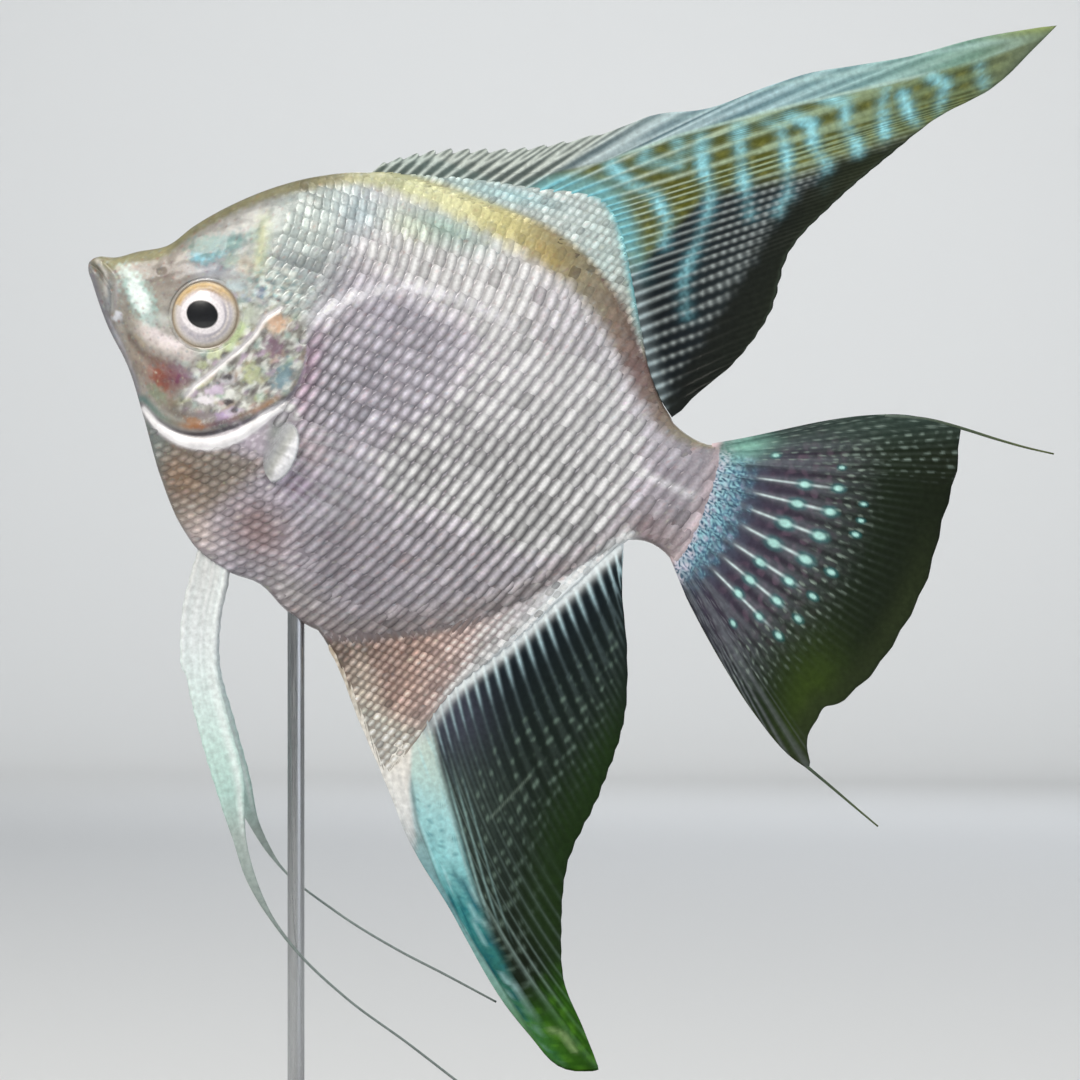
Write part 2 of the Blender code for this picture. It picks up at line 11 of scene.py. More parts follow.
import bpy
import numpy as np
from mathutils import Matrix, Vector


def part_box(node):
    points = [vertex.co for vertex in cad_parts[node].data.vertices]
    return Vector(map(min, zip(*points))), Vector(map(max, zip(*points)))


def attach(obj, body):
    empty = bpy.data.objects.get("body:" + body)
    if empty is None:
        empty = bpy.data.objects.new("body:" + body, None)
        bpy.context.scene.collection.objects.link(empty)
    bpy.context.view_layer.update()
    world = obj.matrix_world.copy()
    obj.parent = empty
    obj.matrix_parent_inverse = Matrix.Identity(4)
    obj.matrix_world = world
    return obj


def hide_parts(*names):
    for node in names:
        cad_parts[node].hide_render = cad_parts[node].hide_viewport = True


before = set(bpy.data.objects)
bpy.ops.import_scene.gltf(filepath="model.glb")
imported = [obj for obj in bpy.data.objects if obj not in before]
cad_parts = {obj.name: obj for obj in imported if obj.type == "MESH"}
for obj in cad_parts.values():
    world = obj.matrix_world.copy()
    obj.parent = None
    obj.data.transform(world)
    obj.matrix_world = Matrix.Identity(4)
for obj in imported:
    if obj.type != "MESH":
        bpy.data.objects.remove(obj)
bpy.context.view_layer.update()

MM = 0.001
NOSE_UP = math.radians(21.1)
COS, SIN = math.cos(NOSE_UP), math.sin(NOSE_UP)

# Outlines of the body in the side view, as (along, up).
BACK = [
    (-0.55, 0.1), (-0.1, 0.9), (0.5, 1.4), (2.6, 2.1), (5.3, 4), (9, 6.4), (11.5, 10.3), (15, 14.6),
    (21, 20.2), (25, 23), (31.5, 26.3), (40, 27.5), (50, 27.6), (60, 27), (65, 25.4), (70, 22.4), (75, 18),
    (80, 12.6), (83, 9.9), (86, 8.4), (90.5, 7.9), (93, 8.8), (96, 10.6)]
BELLY = [
    (-0.55, 0), (-0.3, -0.8), (1, -2.5), (5, -7.2), (10, -11.8), (14.5, -17.5), (20, -24.8), (25, -30),
    (29, -32.7), (34, -33.9), (38, -33.8), (43.4, -36.1), (48, -37), (52, -36.4), (58, -33.6), (64, -30.4),
    (70, -26), (74, -21.8), (78, -16.6), (81.5, -12.2), (84.5, -9.4), (87.2, -8.6), (90.5, -9.3),
    (93, -11), (96, -13.8)]
# Where the scaly sheaths over the roots of the dorsal and anal fins end, and how far back they reach.
SHEATHS_END = 91
DORSAL_SHEATH = [
    (31.5, 26.3), (36, 28.6), (42, 30.3), (48, 31.7), (55, 33.2), (60, 34.5), (63.6, 35), (67.5, 32.3),
    (70, 28.8), (72.4, 25), (75.7, 19.6), (78.7, 14.8), (82.3, 10.8), (84.5, 9.2)]
ANAL_SHEATH = [
    (48.5, -37), (52.5, -40.2), (58.1, -46.2), (62, -50.4), (64.6, -52.6), (66.2, -49.5), (67.3, -45),
    (69, -38.6), (71.2, -34.6), (74, -30), (76, -26.2), (78, -22.2), (80, -18.2), (82, -14), (83.7, -10.7),
    (84.5, -9.4)]
# Half thickness: greatest at each place, the section's power, and what is left at back and belly.
GIRTH = [
    (-0.6, 1.3), (1, 2), (4, 3), (8, 4.2), (12, 5.2), (17, 6.2), (24, 7.1), (32, 7.7), (40, 7.7),
    (50, 7.1), (60, 6), (70, 4.6), (80, 3.1), (86, 2.3), (90.5, 1.9), (93, 1.3), (96, 0.8)]
LENS_POWER = [(0, 0.48), (20, 0.58), (45, 0.72), (70, 0.7), (90, 0.52)]
BACK_EDGE = [
    (0, 0.5), (25, 0.45), (31, 0.6), (45, 0.9), (60, 1.2), (75, 1.2), (84, 0.9), (90, 0.7), (96, 0.5)]
BELLY_EDGE = [
    (0, 0.6), (14, 0.6), (25, 1), (29, 1.9), (34, 1.9), (40, 1), (48, 1), (56, 1.5), (70, 1.7), (80, 1.3),
    (84, 0.9), (90, 0.7), (96, 0.5)]
# Depth left over the skin for the scales.
COAT = [(0, 0.04), (24, 0.06), (33, 0.26), (90, 0.24), (96, 0.1)]

SKIN_START, TRUNK_START, SKIN_END = -0.5, 34, 94.6
HEAD_STEP, TRUNK_STEP = 0.19, 1.1
RIM_ROWS, INNER_ROWS = 6, 194

# Each fin leans aside as the square of its reach: (millimetres aside, at this reach).
DORSAL_LEAN, ANAL_LEAN, CAUDAL_LEAN = (2.4, 60), (1.6, 60), (-2.2, 42)
MEMBRANE = 0.26

# How the scales grow from head to tail, as a share of their size on the middle of the flank.
GROWTH = [(20, 0.88), (34, 0.92), (46, 0.96), (60, 1), (78, 1.08), (92, 1.1)]

# How the rows of scales swing off their even lean, by the length over the skin from the axis.
SWING = [(-45, 0.34), (-28, 0.32), (-12, 0), (8, 0), (18, -0.5), (25, -0.5), (33, 0)]
# Where the scales begin behind the eye, as (up, along).
SCALES_START = [(0.5, 32.5), (2, 30.6), (3.5, 28), (6, 24.9), (9, 23), (20, 23.9)]

EYE = (17.9, -1)
EYE_RADIUS, EYE_DEPTH, EYE_STANDS_OUT, EYE_FORWARD = 5.35, 3.4, 1.65, math.radians(9)
EYE_SIDES = 112
PUPIL = (17.8, -1.1)
PUPIL_HALF = (2.28, 1.9)

MOUTH = [(-0.6, 0.05), (1.4, -0.5), (4, -2.4)]
JAW_REAR = [(4, -2.4), (5.3, -5), (6.3, -8.45)]
MAXILLA = [(1.2, 0.6), (3.2, -0.9), (4.9, -4.4), (5.4, -6.4)]
CHEEK_FOLD = [(7.4, -6.4), (9.4, -8.4), (12, -10), (14.4, -10.6)]
GILL_EDGE = [
    (26.5, 15), (28.3, 9), (31.2, 3.8), (33, -1), (33.3, -6), (31.5, -9.6), (28.6, -12.6), (25.5, -15.2),
    (23, -16.7), (20, -17.4), (17, -17.2), (13.9, -15.9)]
CHEEK_EDGE = [
    (27.4, 3.6), (25.9, 1.4), (25.4, -1.1), (24.3, -3.5), (23.1, -5.6), (21.8, -8.1), (20.2, -10.7),
    (19.2, -13.5)]
GILL_BAND = [
    (14.3, -16.4), (17.4, -18), (20.3, -18.6), (23.2, -18.3), (25.7, -17.3), (28, -15.5), (30, -12.9),
    (31.7, -10.2), (33, -8.8)]
LATERAL_UPPER = [
    (30.4, 2), (32.4, 4.4), (35.7, 8.1), (41.8, 12.3), (48, 13.7), (55.8, 13.6), (60, 12.7), (65, 11)]
LATERAL_LOWER = [(66, 2.2), (72, 1.6), (80, 0.6), (91, 0)]
# Between these two lines the scales are large, and outside them they are small.
LARGE_BELOW = [
    (30, 11), (34, 15), (38, 19), (43, 22), (50, 23), (60, 22), (66, 19.4), (72, 15), (78, 10.4),
    (84, 6.8), (90, 5.6)]
LARGE_ABOVE = [
    (30, -17), (35, -20), (40, -25), (46, -30), (52, -32), (60, -29.4), (70, -22.6), (80, -12.6),
    (86, -6.8), (90, -6.6)]


# Curves and fields ----------------------------------------------------

def lengths(line):
    """Length along a line up to each of its points."""
    return np.concatenate([[0], np.cumsum(np.hypot(*np.diff(line[:, :2], axis=0).T))])


def smooth(points, step=None):
    """Cubic curve through the points by chord length, at even steps along it where a step is given."""
    points = np.array(points, float)
    chord = lengths(points)
    slope = np.gradient(points, chord, axis=0)
    place = np.linspace(0, chord[-1], 40 * len(points))
    k = np.clip(np.searchsorted(chord, place, side="right") - 1, 0, len(chord) - 2)
    span = (chord[k + 1] - chord[k])[:, None]
    f = (place[:, None] - chord[k][:, None]) / span
    fine = ((1 + 2 * f) * (1 - f) ** 2 * points[k] + f * (1 - f) ** 2 * span * slope[k]
            + f ** 2 * (3 - 2 * f) * points[k + 1] - f ** 2 * (1 - f) * span * slope[k + 1])
    if step is None:
        return fine
    length = lengths(fine)
    at = np.linspace(0, length[-1], max(2, int(round(length[-1] / step)) + 1))
    return np.stack([np.interp(at, length, column) for column in fine.T], axis=1)


def read(table, place):
    """Value of a table of (place, value) pairs, straight between them."""
    return np.interp(place, *np.array(table, float).T)


def near(curve, along, up):
    """Distance from each spot to a line, how far along it (0 to 1) the nearest point is, and the side."""
    curve = np.array(curve, float)
    start = lengths(curve)
    step = np.hypot(*np.diff(curve, axis=0).T)
    where, side = np.zeros((2,) + np.shape(along))
    best = where + 1e9
    for i, ((x0, z0), (x1, z1)) in enumerate(zip(curve[:-1], curve[1:])):
        dx, dz = x1 - x0, z1 - z0
        f = np.clip(((along - x0) * dx + (up - z0) * dz) / step[i] ** 2, 0, 1)
        d = np.hypot(along - x0 - f * dx, up - z0 - f * dz)
        closer = d < best
        where = np.where(closer, (start[i] + f * step[i]) / start[-1], where)
        side = np.where(closer, np.sign(dx * (up - z0) - dz * (along - x0)), side)
        best = np.minimum(best, d)
    return best, where, side


def ease(low, high, value):
    """0 at low and 1 at high, with a smooth rise between."""
    f = np.clip((value - low) / (high - low), 0, 1)
    return f * f * (3 - 2 * f)


def quarter(value):
    """From 0 to 1 as a quarter circle rises: steep at first, then level."""
    return np.sqrt(1 - (1 - np.clip(value, 0, 1)) ** 2)


def thinning(out):
    """How much of the body's thickness is left at a distance out from its edge, on the fins' sheaths."""
    return np.exp(-(out / 7) ** 1.3)


def bell(value, reach):
    """1 where the value is nought, falling off as a bell over its reach."""
    return np.exp(-(value / reach) ** 2)


def spot(along, up, place, reach, turn_deg=0):
    """A soft oval: 1 at its place, falling off over its two reaches, its long side turned."""
    c, s = math.cos(math.radians(turn_deg)), math.sin(math.radians(turn_deg))
    x, z = along - place[0], up - place[1]
    return np.exp(-((x * c + z * s) / reach[0]) ** 2 - ((z * c - x * s) / reach[1]) ** 2)


def line_of(along, up, curve, reach):
    """1 on a line and falling off as a bell to each side of it."""
    return bell(near(curve, along, up)[0], reach)


def ripple(along, up, size, seed):
    """A smooth, even noise from -1 to 1: five sine waves of about one size, each its own way round."""
    total = 0
    for k in range(5):
        turn = seed * 1.7 + k * 1.31
        wave = 2 * np.pi / (size * (0.75 + 0.13 * k))
        total = total + np.sin(wave * (along * math.cos(turn) + up * math.sin(turn)) + seed + 2.1 * k)
    return total / 3.2


def patch(along, up, place, reach, turn_deg, seed, ragged=0.2):
    """An oval with a soft, ragged rim: 1 inside and 0 outside, its edge broken by noise 1 mm across."""
    edge = spot(along, up, place, reach, turn_deg) + ragged * ripple(along, up, 1, seed)
    return ease(0.16, 0.8, edge)


def linear(code):
    """A colour given as sRGB hex, turned linear."""
    parts = np.array([int(code[i:i + 2], 16) / 255 for i in (0, 2, 4)])
    return np.where(parts <= 0.04045, parts / 12.92, ((parts + 0.055) / 1.055) ** 2.4)


def rgba(code):
    """The same, opaque, for a shader's socket."""
    return (*linear(code), 1)


def even(code, like):
    """One colour over every place of a grid."""
    return np.ones(like.shape + (3,)) * linear(code)


def lay(below, above, cover):
    """A colour field with another colour or field laid over it, as thick as cover says from 0 to 1."""
    cover = np.clip(cover, 0, 1)[..., None]
    return below * (1 - cover) + (linear(above) if isinstance(above, str) else above) * cover


def marks(tone, a, h, rows):
    """Marks laid over a colour field in turn. A row is a colour and how strong it is, and may go on.

    With a curve and a reach it is a line. With a place, two reaches and a turn it is a soft oval, and
    with a seed and a raggedness after them, an oval with a ragged rim.
    """
    for above, strength, *form in rows:
        if len(form) == 2:
            strength = strength * line_of(a, h, *form)
        elif form:
            shape = spot if len(form) < 6 else patch
            strength = strength * shape(a, h, form[:2], form[2:4], *form[4:])
        tone = lay(tone, above, strength)
    return tone


def graded(codes, places, value):
    """Colours, as a string of codes, at places on a scale, with straight blends between them."""
    table = np.array([linear(code) for code in codes.split()])
    return np.stack([np.interp(value, places, table[:, k]) for k in range(3)], axis=-1)


# The fish's place, from the frame: the middle of its left eye and the pitch of its axis.
EYE_MIDDLE = [(low + high) / 2 for low, high in zip(*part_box("eye_left"))]
SNOUT_X = EYE_MIDDLE[0] - MM * (EYE[0] * COS + EYE[1] * SIN)
SNOUT_Z = EYE_MIDDLE[2] - MM * (EYE[1] * COS - EYE[0] * SIN)


def in_world(along, aside, up):
    """From the fish's frame in millimetres to the world in metres: pitched nose up, then moved."""
    along, aside, up = np.broadcast_arrays(along, aside, up)
    return np.stack([SNOUT_X + MM * (along * COS + up * SIN), MM * aside,
                     SNOUT_Z + MM * (up * COS - along * SIN)], axis=-1)


# Meshes ---------------------------------------------------------------

def make_object(name, points, faces, material, fields=None, bake_map=None):
    """An object from whole arrays: points, faces of one size, fields by vertex, and a map for baking.

    A corner that repeats the one before it is dropped, so quads at a pole become triangles.
    """
    points = np.ascontiguousarray(points, np.float32).reshape(-1, 3)
    kept = faces != np.roll(faces, 1, axis=1)
    corners = faces[kept].astype(np.int32)
    starts = np.cumsum(kept.sum(axis=1)) - kept.sum(axis=1)
    mesh = bpy.data.meshes.new(name)
    mesh.vertices.add(len(points))
    mesh.vertices.foreach_set("co", points.ravel())
    mesh.loops.add(len(corners))
    mesh.loops.foreach_set("vertex_index", corners)
    mesh.polygons.add(len(faces))
    mesh.polygons.foreach_set("loop_start", starts.astype(np.int32))
    mesh.update(calc_edges=True)
    mesh.shade_smooth()
    for field, values in (fields or {}).items():
        values = np.asarray(values, np.float32)
        if values.ndim > 1:
            values = np.concatenate([values, np.ones((len(values), 1), np.float32)], axis=1)
            mesh.attributes.new(field, "FLOAT_COLOR", "POINT").data.foreach_set("color", values.ravel())
        else:
            mesh.attributes.new(field, "FLOAT", "POINT").data.foreach_set("value", values)
    if bake_map is not None:
        layer = mesh.uv_layers.new(name="OFBake")
        layer.data.foreach_set("uv", np.asarray(bake_map, np.float32)[corners].ravel())
    mesh.validate()
    mesh.materials.append(material)
    made = bpy.data.objects.new(name, mesh)
    bpy.context.collection.objects.link(made)
    return made


def add_piece(name, slot, nodes, *parts):
    """A piece that rides on the one body and stands in for nodes of the solids; the slot it is given is not
    used.
    """
    piece = make_object(name, *parts)
    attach(piece, "root")
    if nodes:
        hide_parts(*nodes)


def cells(index):
    """The corners of the faces between the rows and columns of a grid of vertex numbers."""
    return np.stack([index[:-1, :-1], index[:-1, 1:], index[1:, 1:], index[1:, :-1]], axis=-1).reshape(-1, 4)


def add_sheet(name, slot, nodes, place, half, material, fields):
    """A closed sheet over a grid of (along, aside, up): a front and a back that share its border.

    They lie half the thickness to each side of the grid's middle, and on its border this is nought.
    """
    along, middle, up = place
    rows, columns = along.shape
    front = np.arange(rows * columns).reshape(rows, columns)
    back = front.copy()
    back[1:-1, 1:-1] = rows * columns + np.arange((rows - 2) * (columns - 2)).reshape(rows - 2, columns - 2)
    half = np.pad(half[1:-1, 1:-1], 1)
    across = np.diff(along, axis=1)[:-1] * np.diff(up, axis=0)[:, :-1]
    down = np.diff(up, axis=1)[:-1] * np.diff(along, axis=0)[:, :-1]
    faces = [cells(front), cells(back)]
    turned = int((across - down).sum() > 0)
    faces[turned] = faces[turned][:, ::-1]

    def stack(on_front, on_back):
        tail = on_front.shape[2:]
        return np.concatenate([on_front.reshape(-1, *tail), on_back[1:-1, 1:-1].reshape(-1, *tail)])

    points = stack(in_world(along, middle - half, up), in_world(along, middle + half, up))
    fields = {field: stack(values, values) for field, values in fields.items()}
    add_piece(name, slot, nodes, points, np.concatenate(faces), material, fields)


def around(sides):
    """Even turns round a circle."""
    return 2 * np.pi * np.arange(sides) / sides


def tube(path, radius, sides):
    """A round tube along a path of (along, aside, up) with a radius at each point, closed at its ends."""
    run = np.gradient(path, axis=0)
    run /= np.linalg.norm(run, axis=1)[:, None]
    aside = np.cross(run, np.cross(np.array([0, 1, 0]), run))
    aside /= np.linalg.norm(aside, axis=1)[:, None]
    other = np.cross(run, aside)
    turn = around(sides)[None, :, None]
    spoke = np.cos(turn) * aside[:, None] + np.sin(turn) * other[:, None]
    ring = path[:, None] + radius[:, None, None] * spoke
    return np.concatenate([path[:1, None] + 0 * ring[:1], ring, path[-1:, None] + 0 * ring[-1:]])


def revolved(profile, centre, sides):
    """Points of a solid of revolution about an upright axis: a ring for each (radius, height)."""
    r, z = np.array(profile)[..., None].transpose(1, 0, 2)
    turn = around(sides)
    return np.stack([centre[0] + r * np.cos(turn), centre[1] + r * np.sin(turn), z + 0 * turn], axis=-1)


def ring_faces(points, lid=True):
    """Faces of a stack of rings, the first drawn in to a point, and the last too where there is a lid."""
    rows, sides = points.shape[:2]
    index = np.arange(rows * sides).reshape(rows, sides)
    index[0] = index[0, 0]
    if lid:
        index[-1] = index[-1, 0]
    following = np.roll(index, -1, axis=1)
    return np.stack([index[:-1], following[:-1], following[1:], index[1:]], axis=-1).reshape(-1, 4)


# Materials ------------------------------------------------------------

def add(tree, kind, inputs=(), **settings):
    """Add a node with its settings, and with values and links for its sockets by name or in their order."""
    made = tree.nodes.new(kind)
    for name, value in settings.items():
        setattr(made, name, value)
    for socket, value in inputs.items() if isinstance(inputs, dict) else enumerate(inputs):
        if isinstance(value, bpy.types.NodeSocket):
            tree.links.new(value, made.inputs[socket])
        else:
            made.inputs[socket].default_value = value
    return made


def new_material(name, **sockets):
    """A Principled material with its plain sockets set, with its tree and its shader to build on."""
    material = bpy.data.materials.new(name)
    material.use_nodes = True
    shader = material.node_tree.nodes["Principled BSDF"]
    for socket, value in sockets.items():
        shader.inputs[socket.replace("_", " ")].default_value = value
    return material, material.node_tree, shader


def lumps(size_mm):
    """The noise scale that makes lumps about size_mm across."""
    return 0.6 / (size_mm * MM)


def painted(tree, shader, shades, height, bump_mm, strength):
    """Colour from the piece's "tone" field, made lighter and darker by shades, and fine bump."""
    tone = add(tree, "ShaderNodeAttribute", attribute_name="tone").outputs["Color"]
    shaded = add(tree, "ShaderNodeVectorMath", {0: tone, "Scale": shades}, operation="SCALE").outputs[0]
    bump = add(tree, "ShaderNodeBump", {"Height": height, "Strength": strength, "Distance": bump_mm * MM})
    tree.links.new(shaded, shader.inputs["Base Color"])
    tree.links.new(bump.outputs[0], shader.inputs["Normal"])
    return shaded


def wet_skin():
    """Wet living skin under clear mucus: soft mottling, and pearly flecks where "glint" is high, their glint
    painted white into the colour.
    """
    material, tree, shader = new_material("wet fish skin", Roughness=0.45, Coat_Weight=0.28,
                                          Coat_Roughness=0.16, Specular_IOR_Level=0.3)
    place = add(tree, "ShaderNodeTexCoord").outputs["Object"]
    # Guanine flecks lie about 0.5 mm apart, in cloudy patches a millimetre or two across.
    flecks, clouds, grain = (
        add(tree, "ShaderNodeTexNoise", {"Vector": place, "Scale": lumps(size_mm), "Detail": detail,
                                         "Roughness": rough}).outputs["Fac"]
        for size_mm, detail, rough in ((0.5, 3, 0.6), (1.3, 3, 0.6), (0.15, 2, 0.5)))
    shades = add(tree, "ShaderNodeMapRange", (clouds, 0.3, 0.7, 0.8, 1.18)).outputs[0]
    height = add(tree, "ShaderNodeMath", (grain, clouds), operation="ADD").outputs[0]
    shaded = painted(tree, shader, shades, height, 0.06, 0.35)
    # The flecks' glint is painted: white laid into the base colour where the "glint" field is high.
    glint = add(tree, "ShaderNodeAttribute", attribute_name="glint").outputs["Fac"]
    bright = add(tree, "ShaderNodeMapRange", (flecks, 0.54, 0.66, 0, 0.8)).outputs[0]
    fleck = add(tree, "ShaderNodeMath", (bright, glint), operation="MULTIPLY").outputs[0]
    gaps = add(tree, "ShaderNodeMapRange", (flecks, 0.44, 0.34, 0, 1)).outputs[0]
    dark = add(tree, "ShaderNodeMath", (gaps, glint), operation="MULTIPLY").outputs[0]
    dim = add(tree, "ShaderNodeMapRange", (dark, 0, 1, 1, 0.66)).outputs[0]
    dimmed = add(tree, "ShaderNodeVectorMath", {0: shaded, "Scale": dim}, operation="SCALE").outputs[0]
    pearled = add(tree, "ShaderNodeMix", {0: fleck, 6: dimmed, 7: rgba("eef4ee")}, data_type="RGBA")
    tree.links.new(pearled.outputs[2], shader.inputs["Base Color"])
    return material


def grained(name, size_mm, detail, shades, bump_mm, strength, **sockets):
    """A material painted by its tone, with one fine grain that both shades it and stands out of it."""
    material, tree, shader = new_material(name, **sockets)
    place = add(tree, "ShaderNodeTexCoord").outputs["Object"]
    grain = add(tree, "ShaderNodeTexNoise", {"Vector": place, "Scale": lumps(size_mm),
                                             "Detail": detail}).outputs["Fac"]
    shades = add(tree, "ShaderNodeMapRange", (grain, 0.3, 0.7, *shades)).outputs[0]
    painted(tree, shader, shades, grain, bump_mm, strength)
    return material


def pearl_scale():
    """Thin bony scales over guanine: a pearly sheen on each dome under the same clear mucus."""
    return grained("pearl fish scale", 0.25, 2, (0.88, 1.12), 0.04, 0.25, Roughness=0.4, Metallic=0.12,
                   Coat_Weight=0.22, Coat_Roughness=0.2, Specular_IOR_Level=0.35)


def fin_membrane(name):
    """Wet membrane between bony rays, with a fine grain along it."""
    return grained(name, 0.45, 3, (0.84, 1.16), 0.05, 0.3, Roughness=0.5, Coat_Weight=0.04,
                   Coat_Roughness=0.2, Specular_IOR_Level=0.06)


def clear_membrane():
    """The same membrane, see-through as the piece's "veil" field says."""
    material = fin_membrane("clear fin membrane")
    tree = material.node_tree
    veil = add(tree, "ShaderNodeAttribute", attribute_name="veil").outputs["Fac"]
    tree.links.new(veil, tree.nodes["Principled BSDF"].inputs["Alpha"])
    return material


def clear_eye():
    """An eye under its cornea: an opaque iris and pupil beneath a polished clear coat."""
    return grained("eye under cornea", 0.22, 2, (0.9, 1.1), 0.02, 0.15, Roughness=0.3, Coat_Weight=0.7,
                   Coat_Roughness=0.04, Coat_IOR=1.36)


def turned_walnut():
    """Oiled walnut, turned: long grain lines 1 to 2 mm apart and fine pores along the grain."""
    material, tree, shader = new_material("oiled turned walnut", Roughness=0.42, Coat_Weight=0.25,
                                          Coat_Roughness=0.25)
    place = add(tree, "ShaderNodeTexCoord").outputs["Object"]
    along = add(tree, "ShaderNodeMapping", {"Vector": place, "Scale": (0.12, 1, 1)}).outputs[0]
    wander = add(tree, "ShaderNodeTexNoise", {"Vector": along, "Scale": 90, "Detail": 3}).outputs["Fac"]
    rings = add(tree, "ShaderNodeTexWave", {"Vector": along, "Scale": 130, "Distortion": 5, "Detail": 3,
                                            "Detail Scale": 1.4}, bands_direction="Y").outputs["Fac"]
    pores = add(tree, "ShaderNodeMapping", {"Vector": place, "Scale": (0.05, 1, 1)}).outputs[0]
    pore = add(tree, "ShaderNodeTexNoise", {"Vector": pores, "Scale": 1600, "Detail": 2}).outputs["Fac"]
    grain = add(tree, "ShaderNodeMath", (rings, wander), operation="MULTIPLY").outputs[0]
    late = add(tree, "ShaderNodeMapRange", (grain, 0.05, 0.6, 0, 1)).outputs[0]
    wood = add(tree, "ShaderNodeMix", {0: late, 6: rgba("3a2213"), 7: rgba("7a5033")}, data_type="RGBA")
    dim = add(tree, "ShaderNodeMapRange", (pore, 0.36, 0.5, 0.62, 1)).outputs[0]
    shaded = add(tree, "ShaderNodeVectorMath", {0: wood.outputs[2], "Scale": dim}, operation="SCALE")
    bump = add(tree, "ShaderNodeBump", {"Height": pore, "Strength": 0.25, "Distance": 0.1 * MM})
    tree.links.new(shaded.outputs[0], shader.inputs["Base Color"])
    tree.links.new(bump.outputs[0], shader.inputs["Normal"])
    return material


def satin_steel():
    """Stainless rod, drawn and brushed along its length: fine upright streaks 0.1 mm wide."""
    material, tree, shader = new_material("satin stainless steel", Base_Color=rgba("b9bbbd"), Metallic=1,
                                          Roughness=0.28)
    place = add(tree, "ShaderNodeTexCoord").outputs["Object"]
    drawn = add(tree, "ShaderNodeMapping", {"Vector": place, "Scale": (1, 1, 0.03)}).outputs[0]
    streak = add(tree, "ShaderNodeTexNoise", {"Vector": drawn, "Scale": lumps(0.1)}).outputs["Fac"]
    gloss = add(tree, "ShaderNodeMapRange", (streak, 0.3, 0.7, 0.2, 0.36)).outputs[0]
    bump = add(tree, "ShaderNodeBump", {"Height": streak, "Strength": 0.15, "Distance": 0.02 * MM})
    tree.links.new(gloss, shader.inputs["Roughness"])
    tree.links.new(bump.outputs[0], shader.inputs["Normal"])
    return material


# The body's form ------------------------------------------------------

BACK_LINE, BELLY_LINE = smooth(BACK), smooth(BELLY)


def with_sheath(profile, sheath):
    """A profile with its stretch along a fin swapped for the line where the fin's scaly sheath ends."""
    line = smooth(sheath)
    keep = (profile[:, 0] < line[0, 0]) | (profile[:, 0] > line[-1, 0])
    joined = np.concatenate([profile[keep], line])
    return joined[np.argsort(joined[:, 0], kind="stable")]


SKIN_HIGH = with_sheath(BACK_LINE, DORSAL_SHEATH)
SKIN_LOW = with_sheath(BELLY_LINE, ANAL_SHEATH)


def skin_limits(along):
    """Heights where the skin ends below and above, drawn in by the depth of the coat."""
    inset = 1.2 * read(COAT, along)
    return read(SKIN_LOW, along) + inset, read(SKIN_HIGH, along) - inset


def beyond(along, up):
    """How far a spot lies out on a fin's sheath, past the back (positive) or the belly (negative)."""
    low, high = read(BELLY_LINE, along), read(BACK_LINE, along)
    out = np.zeros(np.shape(along))
    for line, outside, sign in ((BACK_LINE, up > high, 1), (BELLY_LINE, up < low, -1)):
        if outside.any():
            out[outside] = sign * near(line[::24], along[outside], up[outside])[0]
    return out


def leaning(out, lean):
    """How far aside a fin leans where it lies out from its root."""
    return lean[0] * (out / lean[1]) ** 2


def middle_plane(along, up):
    """How far aside the middle of the fish lies: nought, but for the lean of the fins."""
    out = beyond(along, up)
    return leaning(np.maximum(out, 0), DORSAL_LEAN) + leaning(np.maximum(-out, 0), ANAL_LEAN)


def bare_half(along, up):
    """Half thickness of the body without relief: a lens from belly to back, thin out on the sheaths."""
    low, high = read(BELLY_LINE, along), read(BACK_LINE, along)
    level = np.clip((up - low) / (high - low), 0, 1)
    lens = (4 * level * (1 - level)) ** read(LENS_POWER, along)
    edge = (1 - level) * read(BELLY_EDGE, along) + level * read(BACK_EDGE, along)
    edge = MEMBRANE + (edge - MEMBRANE) * thinning(np.abs(beyond(along, up)))
    snout = quarter((along - SKIN_START) / 1.3)
    tail = np.clip((SKIN_END - along) / 3, 0, 1) ** 0.5
    return (edge + (read(GIRTH, along) - edge) * lens) * snout * tail


def relief(along, up):
    """Folds of the head, in millimetres out of the skin: lips, jaw, eye socket, gill cover, throat."""
    out = np.zeros(np.shape(along))
    here = along < 40
    a, h = along[here], up[here]
    mouth = near(MOUTH, a, h)[0]
    lips = ease(4.6, 1, a)
    r = 0.34 * bell(mouth - 0.85, 0.55) * lips - 0.5 * bell(mouth, 0.26) * ease(5, 3.4, a)
    for fold, deep, wide in ((JAW_REAR, 0.26, 0.34), (MAXILLA, 0.26, 0.32), (CHEEK_FOLD, 0.34, 0.55)):
        r -= deep * line_of(a, h, smooth(fold, 0.7), wide)
    r += 0.2 * line_of(a, h, smooth(MAXILLA, 0.7) + (0.85, 0.25), 0.5)
    eye = np.hypot(a - EYE[0], h - EYE[1])
    r += 0.08 * bell(eye - 6.1, 0.8) - 2.4 * ease(5.25, 4.5, eye)
    cheek = near(smooth(CHEEK_EDGE, 1), a, h)[0]
    r += 0.2 * bell(cheek - 0.55, 0.5) - 0.24 * bell(cheek, 0.3)
    gill, part, side = near(smooth(GILL_EDGE, 0.8), a, h)
    opening = ease(0.27, 0.55, part)
    r += opening * np.where(side < 0, 0.45 * ease(2.4, 0.3, gill) * ease(0, 0.4, gill),
                            -0.42 * bell(gill, 0.6) * ease(0, 0.35, gill))
    r += 0.36 * line_of(a, h, smooth(GILL_BAND, 0.8), 0.62) * ease(33.8, 32.5, a)
    nostril = np.hypot(a - 9.8, (h - 2.5) / 0.85)
    r += 0.05 * bell(nostril - 0.8, 0.3) - 0.26 * bell(nostril, 0.42)
    r += 0.08 * ripple(a, h, 4.5, 3) * ease(2, 8, a) + 0.03 * ripple(a, h, 1.7, 5) * ease(4, 9, a)
    out[here] = r
    return out * ease(40, 34, along)


